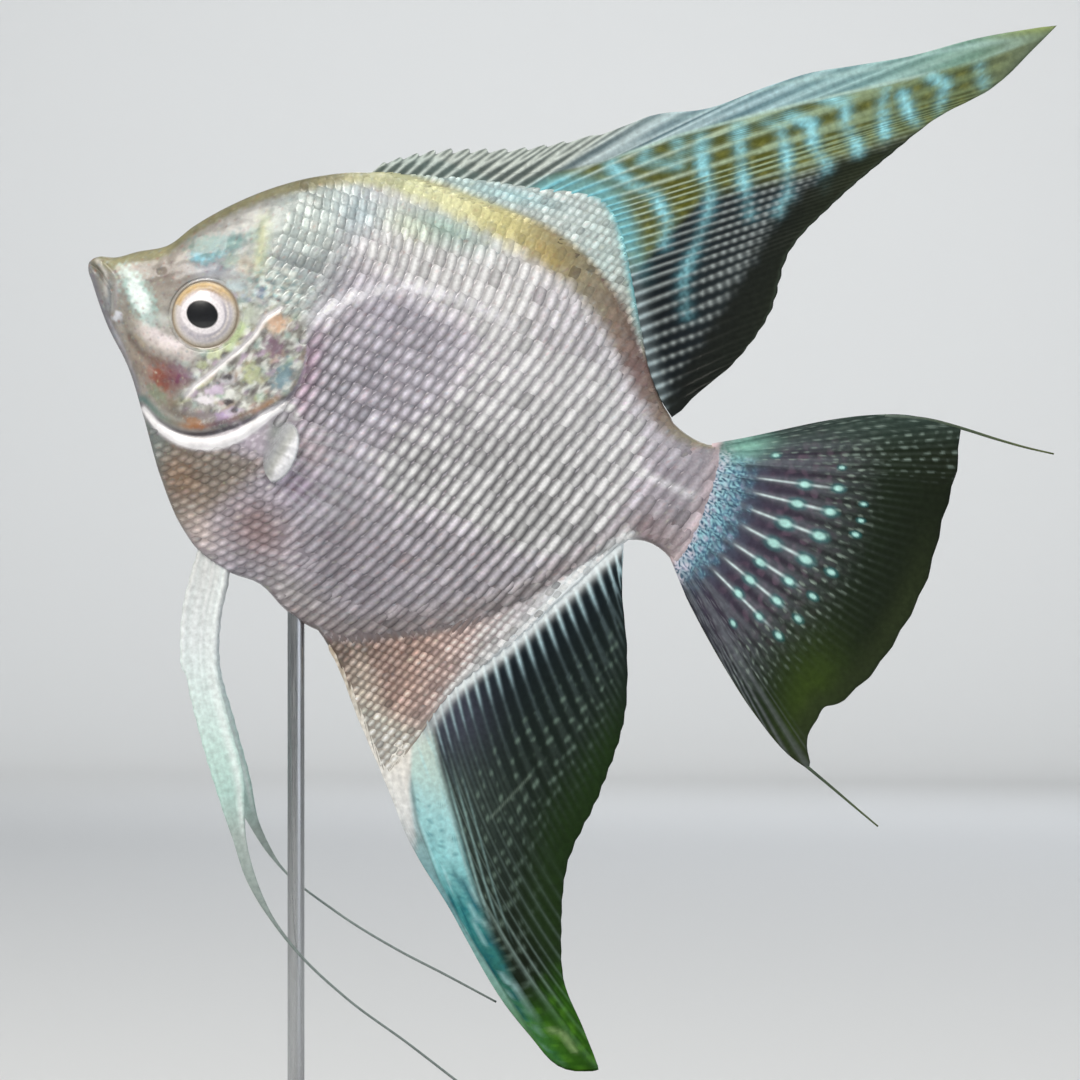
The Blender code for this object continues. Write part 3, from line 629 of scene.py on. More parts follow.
def half_thickness(along, up):
    """Half thickness of the skin, with its folds, rounded off at its edges and drawn in by the coat."""
    low, high = skin_limits(along)
    depth = np.maximum(np.minimum(up - low, high - up), 0)
    bare = bare_half(along, up)
    reach = np.clip(0.25 + 0.9 * np.abs(beyond(along, up)), 0.45, 1.3)
    coat = read(COAT, along) * np.clip(depth / 1.5, 0, 1)
    return np.maximum(bare + relief(along, up) * np.clip(depth, 0, 1) - coat, 0.02) * quarter(depth / reach)


# Markings -------------------------------------------------------------

# Black, laid over colours as painted shade.
PAINTED_SHADE = "000000"


def body_tone(a, h):
    """The colour of skin and scales alike, from the place on the flank: washes, bands and patches."""
    high, low = read(BACK_LINE, a), read(BELLY_LINE, a)
    back, belly = high - h, h - low
    tone = graded("aba5b0 aaa5b1 b0abb6 d4cfd8 dad7de c4bfc7 9e99a1", [30, 42, 50, 60, 72, 82, 90], a)
    ridge = graded("8d9176 91886a 9d9672 c0c497 e4e3ae d2ca86 9a8c5c 857b5e 7a644f 6b4b42 7b6a57 8b876c",
                   [6, 16, 27, 36, 44, 52, 59, 66, 72, 77, 83, 88], a)
    width = read([(0, 1.4), (14, 1.6), (24, 2.2), (34, 2.6), (44, 3.2), (56, 4.6), (66, 5.2), (76, 5),
                  (84, 2.8), (90, 1)], a)
    band = ease(1.25, 0.55, back / width + 0.12 * ripple(a, h, 2.2, 1))
    breast = ease(34.5, 30, a - 0.55 * (h + 20)) * ease(-15.5, -18.5, h)
    arc = near(smooth(LATERAL_UPPER, 2), a, h)[0] / read([(30, 1.15), (38, 0.95), (48, 0.75), (65, 0.5)], a)
    tone = marks(tone, a, h, [
        ("d9d6de", 0.6, 76, 0, 6, 6),
        ("dfdcdd", ease(9, 16, h + 0.1 * (a - 45)) * ease(30, 38, a) * ease(68, 58, a) * 0.85),
        ("b8b5b9", ease(9, 16, h + 0.1 * (a - 45)) * ease(55, 63, a) * 0.8),
        # Darker over the lower flank, and painted shade along the belly's edge where the body turns under.
        ("807982", ease(-8, -20, h) * ease(38, 48, a) * 0.8),
        ("8b7f7d", ease(6, 1, belly) * ease(36, 44, a) * 0.65),
        # Nape and shoulder: cool silver with green and blue washes, crossed by a pale yellow-green stripe.
        ("a9b3b0", ease(37, 27, a) * ease(1, 7, h)), ("afbab7", 1, 26, 15.5, 5, 5),
        ("80848a", 0.75, 27.5, 8.6, 4.2, 3.8), ("97b2a7", 0.9, 45, 22.5, 7.5, 2.6),
        ("b0c8cf", 0.6, 33, 20.5, 4, 3), ("bfc9a6", 0.5, 40, 20.6, 4, 2, -10),
        # Along the ridge the back goes from olive khaki through gold and olive brown to a reddish brown.
        (ridge, band * 0.92), ("b39d52", 0.55, 59.5, 24, 3.8, 1.5, -12),
        # Breast: olive gold, rosy towards the belly, greenish grey at the throat.
        ("7f7469", breast), ("7d8683", ease(21.5, 17.5, a) * ease(-16, -18, h)),
        ("96704f", 0.55, 23, -23.5, 3.6, 2.2, -30), ("85645f", 0.75, 35.5, -26.5, 5, 4, -20),
        ("cdbcb7", 0.8, 28, -29.6, 3.4, 2.2, -35), ("a09c9c", 0.6, 43, -32.5, 6, 2, -8),
        ("e3dce6", 0.5, 52.3, -11.5, 4.5, 6), ("86698a", 0.6, 38.6, -18.6, 3.2, 2.6),
        # Behind the gill cover a magenta blush and a small teal-grey patch.
        ("8c5c7c", 0.6, 34.4, -3.5, 1.5, 7, 8), ("a8888a", 0.4, 38, -13.5, 3, 3),
        # Tail stalk: pinkish brown below, mauve-silver above.
        ("86757a", 0.8, 87, -6.5, 4, 3), ("8d858f", 0.85, 86, 0.5, 4, 4.4),
        ("cdb9bd", ease(90, 93, a) * 0.7),
        # The lateral line: two white arcs.
        ("eceaf2", bell(arc, 1) * ease(65.5, 56, a) * 0.88),
        ("e9e8ee", ease(66, 72, a) * 0.8, LATERAL_LOWER, 0.6)])
    return head_tone(sheath_tone(tone, a, h, -back, -belly), a, h)


def sheath_tone(tone, a, h, above, below):
    """Scaly sheaths: silver blue on the dorsal fin's root, reddish brown to cream on the anal fin's."""
    blue = graded("aebfbe b4c8c5 c2cdca c4d2cf b9cbc8 b0afa6 948979", [38, 46, 54, 62, 68, 73, 78], a)
    rim = near(smooth(DORSAL_SHEATH, 1), a, h)[0]
    red = graded("6f5e51 84685c a4867a b29a94 cfcace f2f8fa", [50, 57, 63, 68, 74, 80], a)
    lead = near(smooth(ANAL_SHEATH, 1)[:24], a, h)[0]
    return marks(tone, a, h, [
        (blue, ease(0.2, 1.4, above)),
        ("86d3da", bell(rim - 0.2, 0.75) * ease(60, 64, a) * ease(78, 72, a)),
        ("a9d8e2", 0.7, 52.5, 30.5, 6, 1.1, 8), (red, ease(0, 1.2, below)),
        ("c9c2b2", ease(0, 1, below) * ease(6, 1.5, lead) * ease(52, 58, a) * 0.6),
        ("c6bfb3", ease(-42, -47, h) * ease(0, 1, below) * 0.9),
        ("e9f0f3", bell(rim_of_anal(a, h) - 0.3, 1.1) * ease(66, 72, a))])


def rim_of_anal(a, h):
    """Distance to the rear line of the anal fin's sheath."""
    return near(ANAL_SHEATH[5:], a, h)[0]


def head_tone(tone, a, h):
    """The head: grey face, mint and turquoise patches, rosy cheek, mottled gill cover, white band."""
    gill, part, side = near(smooth(GILL_EDGE, 1), a, h)
    high = read(BACK_LINE, a)
    shade, fine = ripple(a, h, 2.3, 2), ripple(a, h, 1.1, 7)
    # The head ends at the gill cover's edge, above it at the nape, and below it at the throat.
    blur = 0.05 + 2 * ease(0, 5, h)
    head = np.where(a < 22, 1, ease(-blur, blur, np.where(side < 0, gill, -gill)) * (a < 36))
    head *= ease(-17.8, -16.6, h + 0.25 * np.minimum(a - 18, 0))
    head = np.where(h > 9, ease(23.5, 19.5, a), head)
    face = graded("8f8c84 969189 a0998f a9a7a3 b3b5b2 b9beb8", [1, 5, 10, 16, 21, 26], a)
    # What the marks are laid by: the ridge's edge, the throat, the gill cover, its rims and its band.
    edge = ease(2.9, 1.3, high - h + 0.25 * fine) * ease(30, 24, a)
    net = ripple(a, h, 1.5, 14)
    low = h - read(BELLY_LINE, a)
    cover = ease(17.5, 20.5, a) * ease(4.5, 2, h) * ease(-16.8, -15, h) * (side < 0)
    p, q = 0.5 * a + 0.87 * h, 0.87 * a - 0.5 * h
    hues = (("c3cf9c", 2.6, 31, 0.6), ("c4acc9", 2.3, 33, 0.6), ("a0c0ba", 2.6, 35, 0.55),
            ("cfae97", 2.9, 37, 0.45), ("eceee9", 1.8, 39, 0.8), ("6f6866", 1.9, 41, 0.65),
            ("dfe4da", 1.2, 45, 0.5), ("5f5859", 1.3, 43, 0.5))
    pits = ((22.7, -5.2), (25.4, -11.2), (26.6, -12), (24, -8), (29.8, -6.8))
    cheek = near(smooth(CHEEK_EDGE, 1), a, h)[0]
    rim = bell(gill - 0.75, 0.55) * (side < 0) * ease(-6, -10, h)
    brim = graded("5f7f7d 6a7a70 7d7466 a46f44 84594a 5f4656 6b4f3c a47a52",
                  [14, 17.5, 19.6, 21.6, 23, 25, 28, 31], a)
    slit = bell(np.where(side > 0, gill, -gill) - 0.22, 0.34) * ease(0.44, 0.58, part)
    ridge = ease(6.5, 1.5, high - h) * ease(7, 11, a) * ease(30, 24, a) * ease(5, 7, h)
    behind = spot(a, h, (30.6, -14.6), (2.8, 2.4), 40)
    band, reach, _ = near(smooth(GILL_BAND, 0.8), a, h)
    wide = np.interp(reach, [0, 0.2, 0.5, 0.85, 1], [0.36, 0.6, 0.84, 0.7, 0.42])
    return marks(tone, a, h, [
        (face * (1 + 0.1 * shade[..., None]), head),
        # The ridge of forehead and nape is olive khaki, with a brownish taupe in front of the eye.
        ("80756d", 0.9, 11.2, 2.7, 3.4, 2.4, 18), ("8a8663", edge * 0.95),
        ("a09c78", bell(high - h - 0.9, 0.5) * ease(30, 24, a) * 0.4),
        ("a48f85", 0.7, 5.9, 1.7, 1.1, 0.5, 10),
        # Above and behind the eye: turquoise, grey lilac, a pale stripe up the nape, and teal flecks.
        ("969ba8", 0.85, 16.6, 5.4, 3.2, 1.7, 20), ("6b99a2", 0.8, 14.6, 6.7, 2.1, 1.4, 20, 2),
        ("8fd0e4", 0.9, 14, 6.3, 1.2, 0.8, 10, 3), ("8ec9dc", 0.7, 16.4, 7.6, 1.5, 0.6, 35, 49),
        ("6f918a", 0.9, 14.4, 8.3, 3, 1.5, 28, 48), ("6f9496", 0.75, 17, 9.2, 3.4, 1.8, 40, 4),
        ("84aea9", 0.6, 18, 10, 1.3, 0.9, 40, 6), ("a3b8ac", 0.7, 18.6, 7.4, 1.6, 0.9, 50, 44),
        ("8aaca6", 0.6, 20.4, 12.2, 1.8, 1.1, 40, 5),
        ("b3bc9f", 0.85, [(20.7, 14.6), (21.6, 11.4), (22.7, 7.4)], 1.1 + 0.35 * fine),
        ("cfd2ae", 0.8, [(21, 13.4), (21.6, 11), (22.2, 8.4)], 0.45 + 0.15 * shade),
        ("cdbda4", 0.5, 20.8, 7.6, 1.7, 1.4, 0, 8), ("a9b9ea", 0.85, 22.7, 2.9, 1.2, 0.7, -15, 9),
        ("86b4b8", ease(0.1, 0.6, fine) * 0.8, 26, 5.4, 4.6, 3.6),
        ("dfebe7", ease(0.1, 0.5, net) * 0.95, 26.4, 5, 5, 3.6),
        ("56656f", ease(0.15, 0.6, -net) * 0.8, 26, 5.4, 4, 3.6),
        ("8fa3cf", 0.4, 24, 4.6, 0.9, 0.7, 30, 46), ("6fb9c0", 0.8, 25, 2.2, 0.9, 1, 30, 3.5),
        # Snout: grey bars of the upper jaw and a large mint-white patch.
        ("6f6c66", 0.65, smooth(MAXILLA, 0.7) - (0.9, 0.2), 0.5),
        ("a9b0b5", 0.7, [(3.4, -1.8), (4.6, -4.8)], 0.6),
        ("c9c6c0", 0.7, [(0.6, 0.8), (2.4, -0.4), (3.6, -3.4)], 0.35),
        ("a9a7ab", 0.6, [(4.6, -1.4), (5.4, -4.4)], 0.4), ("b4d6d0", 0.85, 8.2, -1.9, 1.9, 4.9, 50, 11),
        ("f4fffd", 1, 8.2, -1.9, 1.25, 3.3, 47, 12, 0.14), ("c4dcd8", 0.9, 10.6, -4.8, 1, 1.3, 30, 13),
        ("c3d2cc", 0.5, 5.6, 0.4, 1.4, 0.7, -35, 14), ("857a78", 0.6, 6.6, -2.9, 0.4, 1.5, 40),
        ("dcdfe8", 0.9, 6.2, -5.6, 0.8, 0.9, 30, 15),
        ("7b7b88", ease(2.4, 0.4, low) * ease(15.5, 12, a) * 0.75),
        ("c3c5d2", bell(low - 0.9, 0.35) * ease(13.5, 10, a) * ease(4, 7, a) * 0.5),
        # Cheek: pinkish white under the eye, then a brown fold darkened by painted shade in its crease, red,
        # plum and mauve.
        ("e0d6d2", 0.95, [(10.6, -6), (12, -6.7), (14.6, -6.9), (17.6, -7.2)], 1.15 + 0.25 * fine),
        ("fdf2f4", 0.9, [(12, -5.9), (13.2, -6.2), (15.6, -6.4)], 0.75 + 0.2 * fine),
        ("b5a78f", 0.6, [(9.6, -7.2), (11.2, -8)], 0.35),
        ("6d5f56", 0.85, [(8.9, -7.6), (10.6, -8.9), (13.2, -9.4), (15.6, -9.4)], 0.55),
        ("9a8f83", 0.8, 11, -10.4, 2.6, 1.2, -32), ("785f70", 0.85, 17.6, -9.8, 3.8, 1.6, 12, 16),
        ("a3715d", 0.9, 15.4, -11.7, 3, 1.8, -36), ("a35a42", 0.75, 15, -11.6, 1.9, 1, -40, 17, 0.35),
        ("7f4c58", 0.85, 17.9, -10.9, 2.7, 1.2, 12), ("753f5f", 0.8, 18.8, -10.3, 1.8, 0.7, 20, 19, 0.35),
        ("4b3346", 0.85, 19.8, -8.6, 1.6, 0.8, 22, 20, 0.3), ("b9c4bd", 0.7, 18, -8.4, 1.2, 0.5, 10, 21),
        ("8d9b82", 0.75, 15.6, -13.8, 2, 1, -24, 22), ("8b7b62", 0.75, 18.8, -14.4, 1.8, 1, -10, 23),
        # Painted shade: a dark wash over the lower cheek, and a fainter one over the jaw.
        (PAINTED_SHADE, 0.2, 14.5, -11.5, 6, 3.2, -10), (PAINTED_SHADE, 0.1, 5, -5, 4, 2.4, -50),
        ("857b7f", 0.85, 19.6, -8.6, 1.7, 0.8, 30), ("d6dad6", 0.7, 12.6, -3.6, 1.6, 0.8, 20),
        # Gill cover: streaky blotches a millimetre across in yellow-green, lilac, teal, peach and white.
        ("9a978f", cover * 0.85),
        *((code, ease(0.22, 0.7, ripple(0.62 * p, q, size, seed)) * cover * most)
          for code, size, seed, most in hues),
        ("c5d6a0", cover * 0.9, [(23.5, 1.6), (23.3, -1.4), (22.5, -4)], 0.75 + 0.2 * fine),
        ("cdd6ae", 0.9, 21.1, -5.6, 1.2, 0.9, 35, 24, 0.3),
        ("c5cca0", cover * 0.85, 27.2, -6.4, 1.2, 1.6, -15, 25),
        ("dcb79a", 0.9, 27.5, 1.6, 1.7, 1.5, -30, 26), ("83647a", cover * 0.8, 28.6, -1.8, 1.7, 1.5, 0, 27),
        ("d3c4d8", cover, 23, -10.4, 1.7, 0.8, 30, 28), ("f1ecf1", cover, 22.3, -12.1, 1.8, 0.8, 14, 29),
        ("eef0ea", cover, 25.2, -10.2, 0.9, 1, 0, 30), ("c7aedb", cover, 25.4, -13.4, 1.6, 0.6, 20, 32),
        ("8a8183", cover, 22.4, -14.4, 3.4, 0.8, 14), ("756c62", 0.85, 18.8, -15.3, 3.2, 0.9, -6),
        ("c3c9c0", 0.8, 24, 1.2, 1.8, 1.6, 40, 38), ("cfcdd2", cover, 24.2, -8.2, 1.3, 0.8, 30, 39),
        ("cabdd2", cover, 26.4, -12.2, 1.5, 0.7, 25, 40), ("c4d4d9", 0.8, 20.4, 4.2, 1.6, 0.9, 20, 42),
        *(("4f494b", cover * 0.9, *place, 0.75, 0.5, 35, 34) for place in pits),
        ("8d999e", 0.6, 31.4, -5.6, 1.8, 3, -8), ("7795a0", 0.8, 31.2, -5.2, 1.2, 2.2, -8, 36, 0.35),
        # Rims: a white line on the cheek's edge, a dark slit of painted shade in the opening under the gill
        # cover, a white band below it.
        ("f8f4f5", bell(cheek - 0.1, 0.34) * ease(-13.6, -12, h)),
        (brim, rim * 0.85),
        ("9a683f", 0.75, 21.9, -15.6, 1.7, 0.7, -5, 48), ("3a3336", slit * 0.85),
        # The nape under its ridge is in shade.
        (PAINTED_SHADE, ridge * 0.3),
        # The throat behind the band is lilac grey, mottled, and grey green by the fin's root.
        ("b3a7b5", behind * 0.8), ("e3dbe6", behind * ease(0.1, 0.6, fine) * 0.7),
        ("8f978f", 0.8, 33.2, -12.6, 1.4, 2), ("b9b4bc", ease(wide + 0.55, wide, band) * 0.6),
        ("fdfbfe", ease(wide + 0.2, wide - 0.16, band)),
        ("f4f2f6", 0.9, [(32.6, -8.7), (34.2, -9), (35.2, -9.9)], 0.45)])


def glint_of(a, h):
    """How thick the pearly flecks lie: strong on the gill cover and shoulder, weak on snout and ridge."""
    cover = ease(17, 21, a) * ease(-17, -14, h) * ease(5, 1, h)
    shoulder = ease(20, 25, a) * ease(0, 4, h)
    return np.minimum(0.06 + 0.12 * cover + 0.1925 * shoulder, 0.4) * ease(38, 34, a)


# Skin -----------------------------------------------------------------

def add_skin(material):
    """One skin over head, gill covers, trunk, tail stalk and the fins' sheaths.

    Columns run from belly to back, close together on the head. Each column's rows crowd at both ends
    as a quarter circle does, so that the edges of the body come out round.
    """
    columns = np.concatenate([np.arange(SKIN_START, TRUNK_START, HEAD_STEP),
                              np.arange(TRUNK_START, SKIN_END, TRUNK_STEP), [SKIN_END]])
    low, high = skin_limits(columns)
    turn = 1 - np.cos(np.linspace(0, np.pi / 2, RIM_ROWS))
    rim = np.minimum(0.9, 0.18 * (high - low))
    inner = np.linspace(0, 1, INNER_ROWS)[1:-1, None]
    rows = np.concatenate([low + rim * turn[:, None], low + rim + inner * (high - low - 2 * rim),
                           high - rim * turn[::-1, None]])
    along = np.broadcast_to(columns, rows.shape).copy()
    place = (along, middle_plane(along, rows), rows)
    # Painted shade: between the scales the skin is darkened, as it lies in their shadow.
    tone = lay(body_tone(along, rows), PAINTED_SHADE, 0.42 * shade_of(along, rows) * behind_gills(along, rows))
    nodes = ("head", "lower_jaw", "gill_cover_left", "gill_cover_right", "trunk", "tail_stalk")
    add_sheet("skin", "head_skin", nodes, place, half_thickness(along, rows), material,
              {"tone": tone, "glint": glint_of(along, rows)})


# Scales ---------------------------------------------------------------

TABLE_ALONG = np.arange(10, 96, 0.5)
TABLE_ROWS = 400
# Scales with less spacing or half length than this, on the sheaths, keep to even rows.
EVEN_BELOW = (1.1, 0.7)
# Millimetres of unrolled skin to one side of the map for baking, and half the width of a scale on it.
BAKE_SPAN, BAKE_PATCH = (200, 150), 0.0015


def unrolled_table():
    """Length over the skin from the fish's axis up or down each section, on a table of heights."""
    low, high = skin_limits(TABLE_ALONG)
    up = low + (high - low) * np.linspace(0, 1, TABLE_ROWS)[:, None]
    half = half_thickness(np.broadcast_to(TABLE_ALONG, up.shape), up)
    step = np.hypot(np.diff(up, axis=0), np.diff(half, axis=0))
    length = np.concatenate([np.zeros((1, up.shape[1])), np.cumsum(step, axis=0)])
    for k in range(up.shape[1]):
        length[:, k] -= np.interp(0, up[:, k], length[:, k])
    return up, length


def from_unrolled(along, over, table):
    """Height in the side view of spots given by their length over the skin from the axis."""
    up, length = table
    k = np.clip(np.searchsorted(TABLE_ALONG, along) - 1, 0, len(TABLE_ALONG) - 2)
    f = (along - TABLE_ALONG[k]) / (TABLE_ALONG[k + 1] - TABLE_ALONG[k])
    found = np.full(along.shape, np.nan)
    for column in np.unique(k):
        here = k == column
        ends = [np.interp(over[here], length[:, c], up[:, c], left=np.nan, right=np.nan)
                for c in (column, column + 1)]
        found[here] = ends[0] * (1 - f[here]) + ends[1] * f[here]
    return found


def disc_grid(count):
    """A square grid drawn in to a disc, and the corners of its faces."""
    x, y = np.meshgrid(np.linspace(-1, 1, count), np.linspace(-1, 1, count))
    across, upward = x * np.sqrt(1 - y * y / 2), y * np.sqrt(1 - x * x / 2)
    return across.ravel(), upward.ravel(), cells(np.arange(count * count).reshape(count, count))


def swing_share(along):
    """How much of the swing of the rows is left: all of it at the gills and none at the tail."""
    return np.clip((95 - along) / 60, 0, 1)


def scale_roots(spacing, rise, shift, table, zone):
    """Rows of scales over the unrolled skin, each row a rise above the last and shifted to the tail.

    On back and belly the rows swing forward, by the sum of their swing from the axis outward.
    """
    span_up = np.arange(-70, 60, rise)
    span_along = np.arange(-20, 110, spacing)
    row, column = np.meshgrid(np.arange(len(span_up)), np.arange(len(span_along)), indexing="ij")
    # The rows are counted off on a stretched line, because the scales grow towards the tail.
    line = np.arange(-20, 110, 0.25)
    counted = line[0] + np.cumsum(0.25 / read(GROWTH, line))
    along = np.interp(span_along[column] + shift * row, counted, line)
    over = span_up[row]
    if spacing > EVEN_BELOW[0]:
        climb = np.arange(-70, 60, 0.5)
        drift = np.cumsum(read(SWING, climb)) * 0.5
        drift -= np.interp(0, climb, drift)
        along = along + np.interp(over, climb, drift) * swing_share(along)
    inside = (along > 11) & (along < 94)
    along, over = along[inside], over[inside]
    up = from_unrolled(along, over, table)
    keep = np.isfinite(up)
    along, up, over = along[keep], up[keep], over[keep]
    keep = zone(along, up)
    return along[keep], up[keep], over[keep]


def behind_gills(a, h):
    """True behind the gill opening, the nape's edge and the white band under the gill cover."""
    gill, _, side = near(smooth(GILL_EDGE, 1), a, h)
    nape = (h > 0.5) & (a > read(SCALES_START, h))
    flank = (h <= 9) & (h > -9.5) & (side > 0) & (gill > 0.5)
    band, _, below = near(smooth(GILL_BAND, 0.8), a, h)
    bare = np.hypot((a - 31.4) / 2.4, (h + 14) / 2.4) < 1
    lobe = np.hypot((a - 34.6) / 2, (h + 14.6) / 4.2) < 1
    throat = (h <= -9.5) & (below < 0) & (band > 1)
    return (nape | flank | throat) & ~bare & ~lobe & (a < 92.5 + 0.6 * ripple(h, 0 * h, 3, 4))


def large_zone(a, h):
    """The flank, where the scales are largest."""
    below, above = read(LARGE_BELOW, a), read(LARGE_ABOVE, a)
    return behind_gills(a, h) & (h < below + 0.7) & (h > above - 0.6) & (a > 30.6)


def on_sheath(a, h):
    """True beyond the back's and the belly's own lines, on the sheaths of the fins."""
    return (h > read(BACK_LINE, a) - 0.4) | (h < read(BELLY_LINE, a) + 0.4)


def small_zone(a, h):
    """Nape, breast, ridge, belly and stalk, round the large scales."""
    below, above = read(LARGE_BELOW, a), read(LARGE_ABOVE, a)
    low, high = skin_limits(a)
    edge = (h - low > 0.5) & (high - h > 0.5)
    outside = (h > below - 0.6) | (h < above + 0.5) | (a <= 31.3)
    return behind_gills(a, h) & outside & edge & ~on_sheath(a, h) & ~on_breast(a, h)


def on_breast(a, h):
    """True in front of a line that slants down and back from the gill opening, where scales are round."""
    return (h < -9) & (a < 36 + 0.4 * (-18 - h))


def breast_zone(a, h):
    """The breast under the gill opening."""
    low, _ = skin_limits(a)
    above = read(LARGE_ABOVE, a)
    return behind_gills(a, h) & on_breast(a, h) & (h - low > 0.5) & ((h < above + 0.8) | (a <= 31.6))


def sheath_zone(a, h):
    """The sheaths of the dorsal and anal fins, where the scales are smallest."""
    low, high = skin_limits(a)
    return behind_gills(a, h) & on_sheath(a, h) & (h - low > 0.35) & (high - h > 0.35) & (a > 34)


def add_scales(name, side, count, roots, size, dome, highlight_and_shade, draw, material):
    """Scales on one side of the fish, as one mesh.

    Each scale is a disc drawn from a square grid, domed by one minus the square of its radius, tipped
    so that its rear edge stands over the next one, sheared so that it leans back as it rises, and
    turned down round its rim into the skin.
    """
    a, h, over = roots
    here = len(a)
    x, y, corners = disc_grid(count)
    radius = np.hypot(x, y)
    flat = np.minimum(radius * 1.1, 1) / np.maximum(radius, 1e-6)
    x, y = x * flat, y * flat
    rim = np.clip((radius - 0.9) / 0.1, 0, 1)
    (long_half, high_half), (bar_long, bar_high, highlight_gain, pocket_shade) = size, highlight_and_shade
    grow = (1 + 0.07 * draw.uniform(-1, 1, here)[:, None]) * read(GROWTH, a)[:, None]
    bend = read(SWING, over) * swing_share(a) * (long_half > EVEN_BELOW[1])
    lean = (draw.uniform(-0.06, 0.06, here) + 0.27 + bend)[:, None]
    da, dh = long_half * grow * x + lean * high_half * grow * y, high_half * grow * y
    # The skin's slope at each root, to lay the scale on it.
    step = 0.35
    rise_up = (half_thickness(a, h + step) - half_thickness(a, h - step)) / (2 * step)
    rise_on = (half_thickness(a + step, h) - half_thickness(a - step, h)) / (2 * step)
    rise_up, rise_on = np.clip(rise_up, -4, 4)[:, None], np.clip(rise_on, -1.5, 1.5)[:, None]
    squeeze = 1 / np.sqrt(1 + rise_up ** 2)
    strength = shade_of(a, h)[:, None]
    dome = dome * (0.2 + 0.8 * np.minimum(strength / 0.8, 1))
    lift = dome * (1 - (x ** 2 + y ** 2)) + 0.55 * dome * x + 0.02 - rim * (0.05 + 0.8 * dome)
    normal = np.stack([-rise_on + 0 * rise_up, -rise_up + 0 * rise_on], axis=-1)
    length = np.sqrt(1 + (normal ** 2).sum(-1))
    along = a[:, None] + da + lift * normal[..., 0] / length
    up = h[:, None] + dh * squeeze + lift * normal[..., 1] / length
    aside = half_thickness(a, h)[:, None] + rise_on * da + rise_up * dh * squeeze + lift / length
    # Long scales follow the body's curve: at their ends they sink to the skin where they stand off it.
    low, high = skin_limits(along)
    up = np.clip(up, low + 0.12, high - 0.12)
    aside = 0.2 * aside + 0.8 * (half_thickness(along, up) + lift / length)
    middle = middle_plane(a, h)[:, None]
    points = in_world(along, middle + side * aside, up).reshape(-1, 3)
    faces = (corners[None] + (np.arange(here) * len(x))[:, None, None]).reshape(-1, 4)
    faces = faces if side < 0 else faces[:, ::-1]
    # Tone: a painted highlight in a bar up the middle of each scale, painted shade in the pockets at its
    # rim.
    tone = 0.2 * body_tone(a, h)[:, None] + 0.8 * body_tone(along, up)
    highlight_bar = (bell(x - 0.05, bar_long) * bell(y / dash_of(a, h)[:, None], bar_high))[..., None]
    arc = line_of(along, up, smooth(LATERAL_UPPER, 2), 0.9) * ease(64, 52, along)
    strength = (strength * (1 - 0.7 * arc))[..., None]
    # The dark tone is the painted shade of the pockets, the light tone the painted highlight of the bar.
    dark = tone * (1 - strength * pocket_shade)
    light = np.minimum(tone * (1 + strength * highlight_gain) + 0.19 * strength, 0.94)
    vary = (1 + (0.12 if long_half > EVEN_BELOW[1] else 0.22) * draw.standard_normal(here))[:, None, None]
    tones = (dark * (1 - highlight_bar) + light * highlight_bar) * vary
    fields = {"tone": np.clip(tones, 0, 1).reshape(-1, 3)}
    # Baking patch: each scale is 0.003 across, at its root's place on the unrolled skin.
    start = 0.25 if side < 0 else 0.75
    centre = np.stack([start + (a - 53) / BAKE_SPAN[0], 0.5 + over / BAKE_SPAN[1]], axis=-1)
    places = centre[:, None] + BAKE_PATCH * np.stack([x, y], axis=-1)
    add_piece(name, "trunk_scales", (), points, faces, material, fields, places.reshape(-1, 2))


def shade_of(a, h):
    """How strong the painted highlight and painted pocket shade of each scale are: most on the flank, least
    on nape and ridge.
    """
    back = read(BACK_LINE, a) - h
    flank = spot(a, h, (70, -8), (15, 15))
    low = read(BELLY_LINE, a) - h
    flank = np.maximum(flank, 0.75 * ease(0, 1.5, low) * ease(79, 72, a))
    plain = np.maximum(ease(6.5, 3, back) * ease(-0.5, 0.5, back), ease(36, 28, a) * ease(2, 8, h))
    plain = np.maximum(plain, np.maximum(ease(70, 78, a) * ease(-0.5, 0.5, low), 0.6 * ease(80, 87, a)))
    gill = 0.36 * spot(a, h, (35.5, -5), (5, 9)) + 0.34 * spot(a, h, (52.5, -11.5), (6, 7))
    return np.clip(0.48 + 0.56 * flank + gill, 0, 1) * (1 - 0.8 * plain)


def dash_of(a, h):
    """How far the painted highlight bar runs along each scale: a dot on the shoulder, unbroken low down and
    behind.
    """
    return 1 - 0.64 * spot(a, h, (45, -2), (17, 16))


def add_all_scales(material):
    """Large scales on the flank, small ones round them, and the smallest on the fins' sheaths."""
    table = unrolled_table()
    draw = np.random.default_rng(7)
    # Spacing along a row, rise from row to row, and each row's shift to the tail, in millimetres.
    large = scale_roots(1.6, 2.46, 0.78, table, large_zone)
    small = scale_roots(1.34, 1.8, 0.56, table, small_zone)
    round_ones = scale_roots(1.5, 1.46, 0.75, table, breast_zone)
    least = scale_roots(1.02, 1.16, 0.44, table, sheath_zone)
    # Each kind: name, grid, roots, half length and half height, dome, and the painted highlight bar: its
    # reach along and up, how much brighter it is, and how much darker the painted shade in the pockets is.
    kinds = (("flank", 9, large, (0.99, 1.7), 0.04, (0.46, 1.35, 1, 0.84)),
             ("small", 7, small, (0.84, 1.24), 0.04, (0.42, 1.15, 0.85, 0.66)),
             ("breast", 7, round_ones, (0.92, 1), 0.055, (0.55, 0.62, 0.8, 0.72)),
             ("sheath", 5, least, (0.62, 0.78), 0.04, (0.5, 0.8, 0.75, 0.62)))
    for side, word in ((-1, "left"), (1, "right")):
        for kind, *form in kinds:
            add_scales(kind + "_scales_" + word, side, *form, draw, material)


# Fins -----------------------------------------------------------------

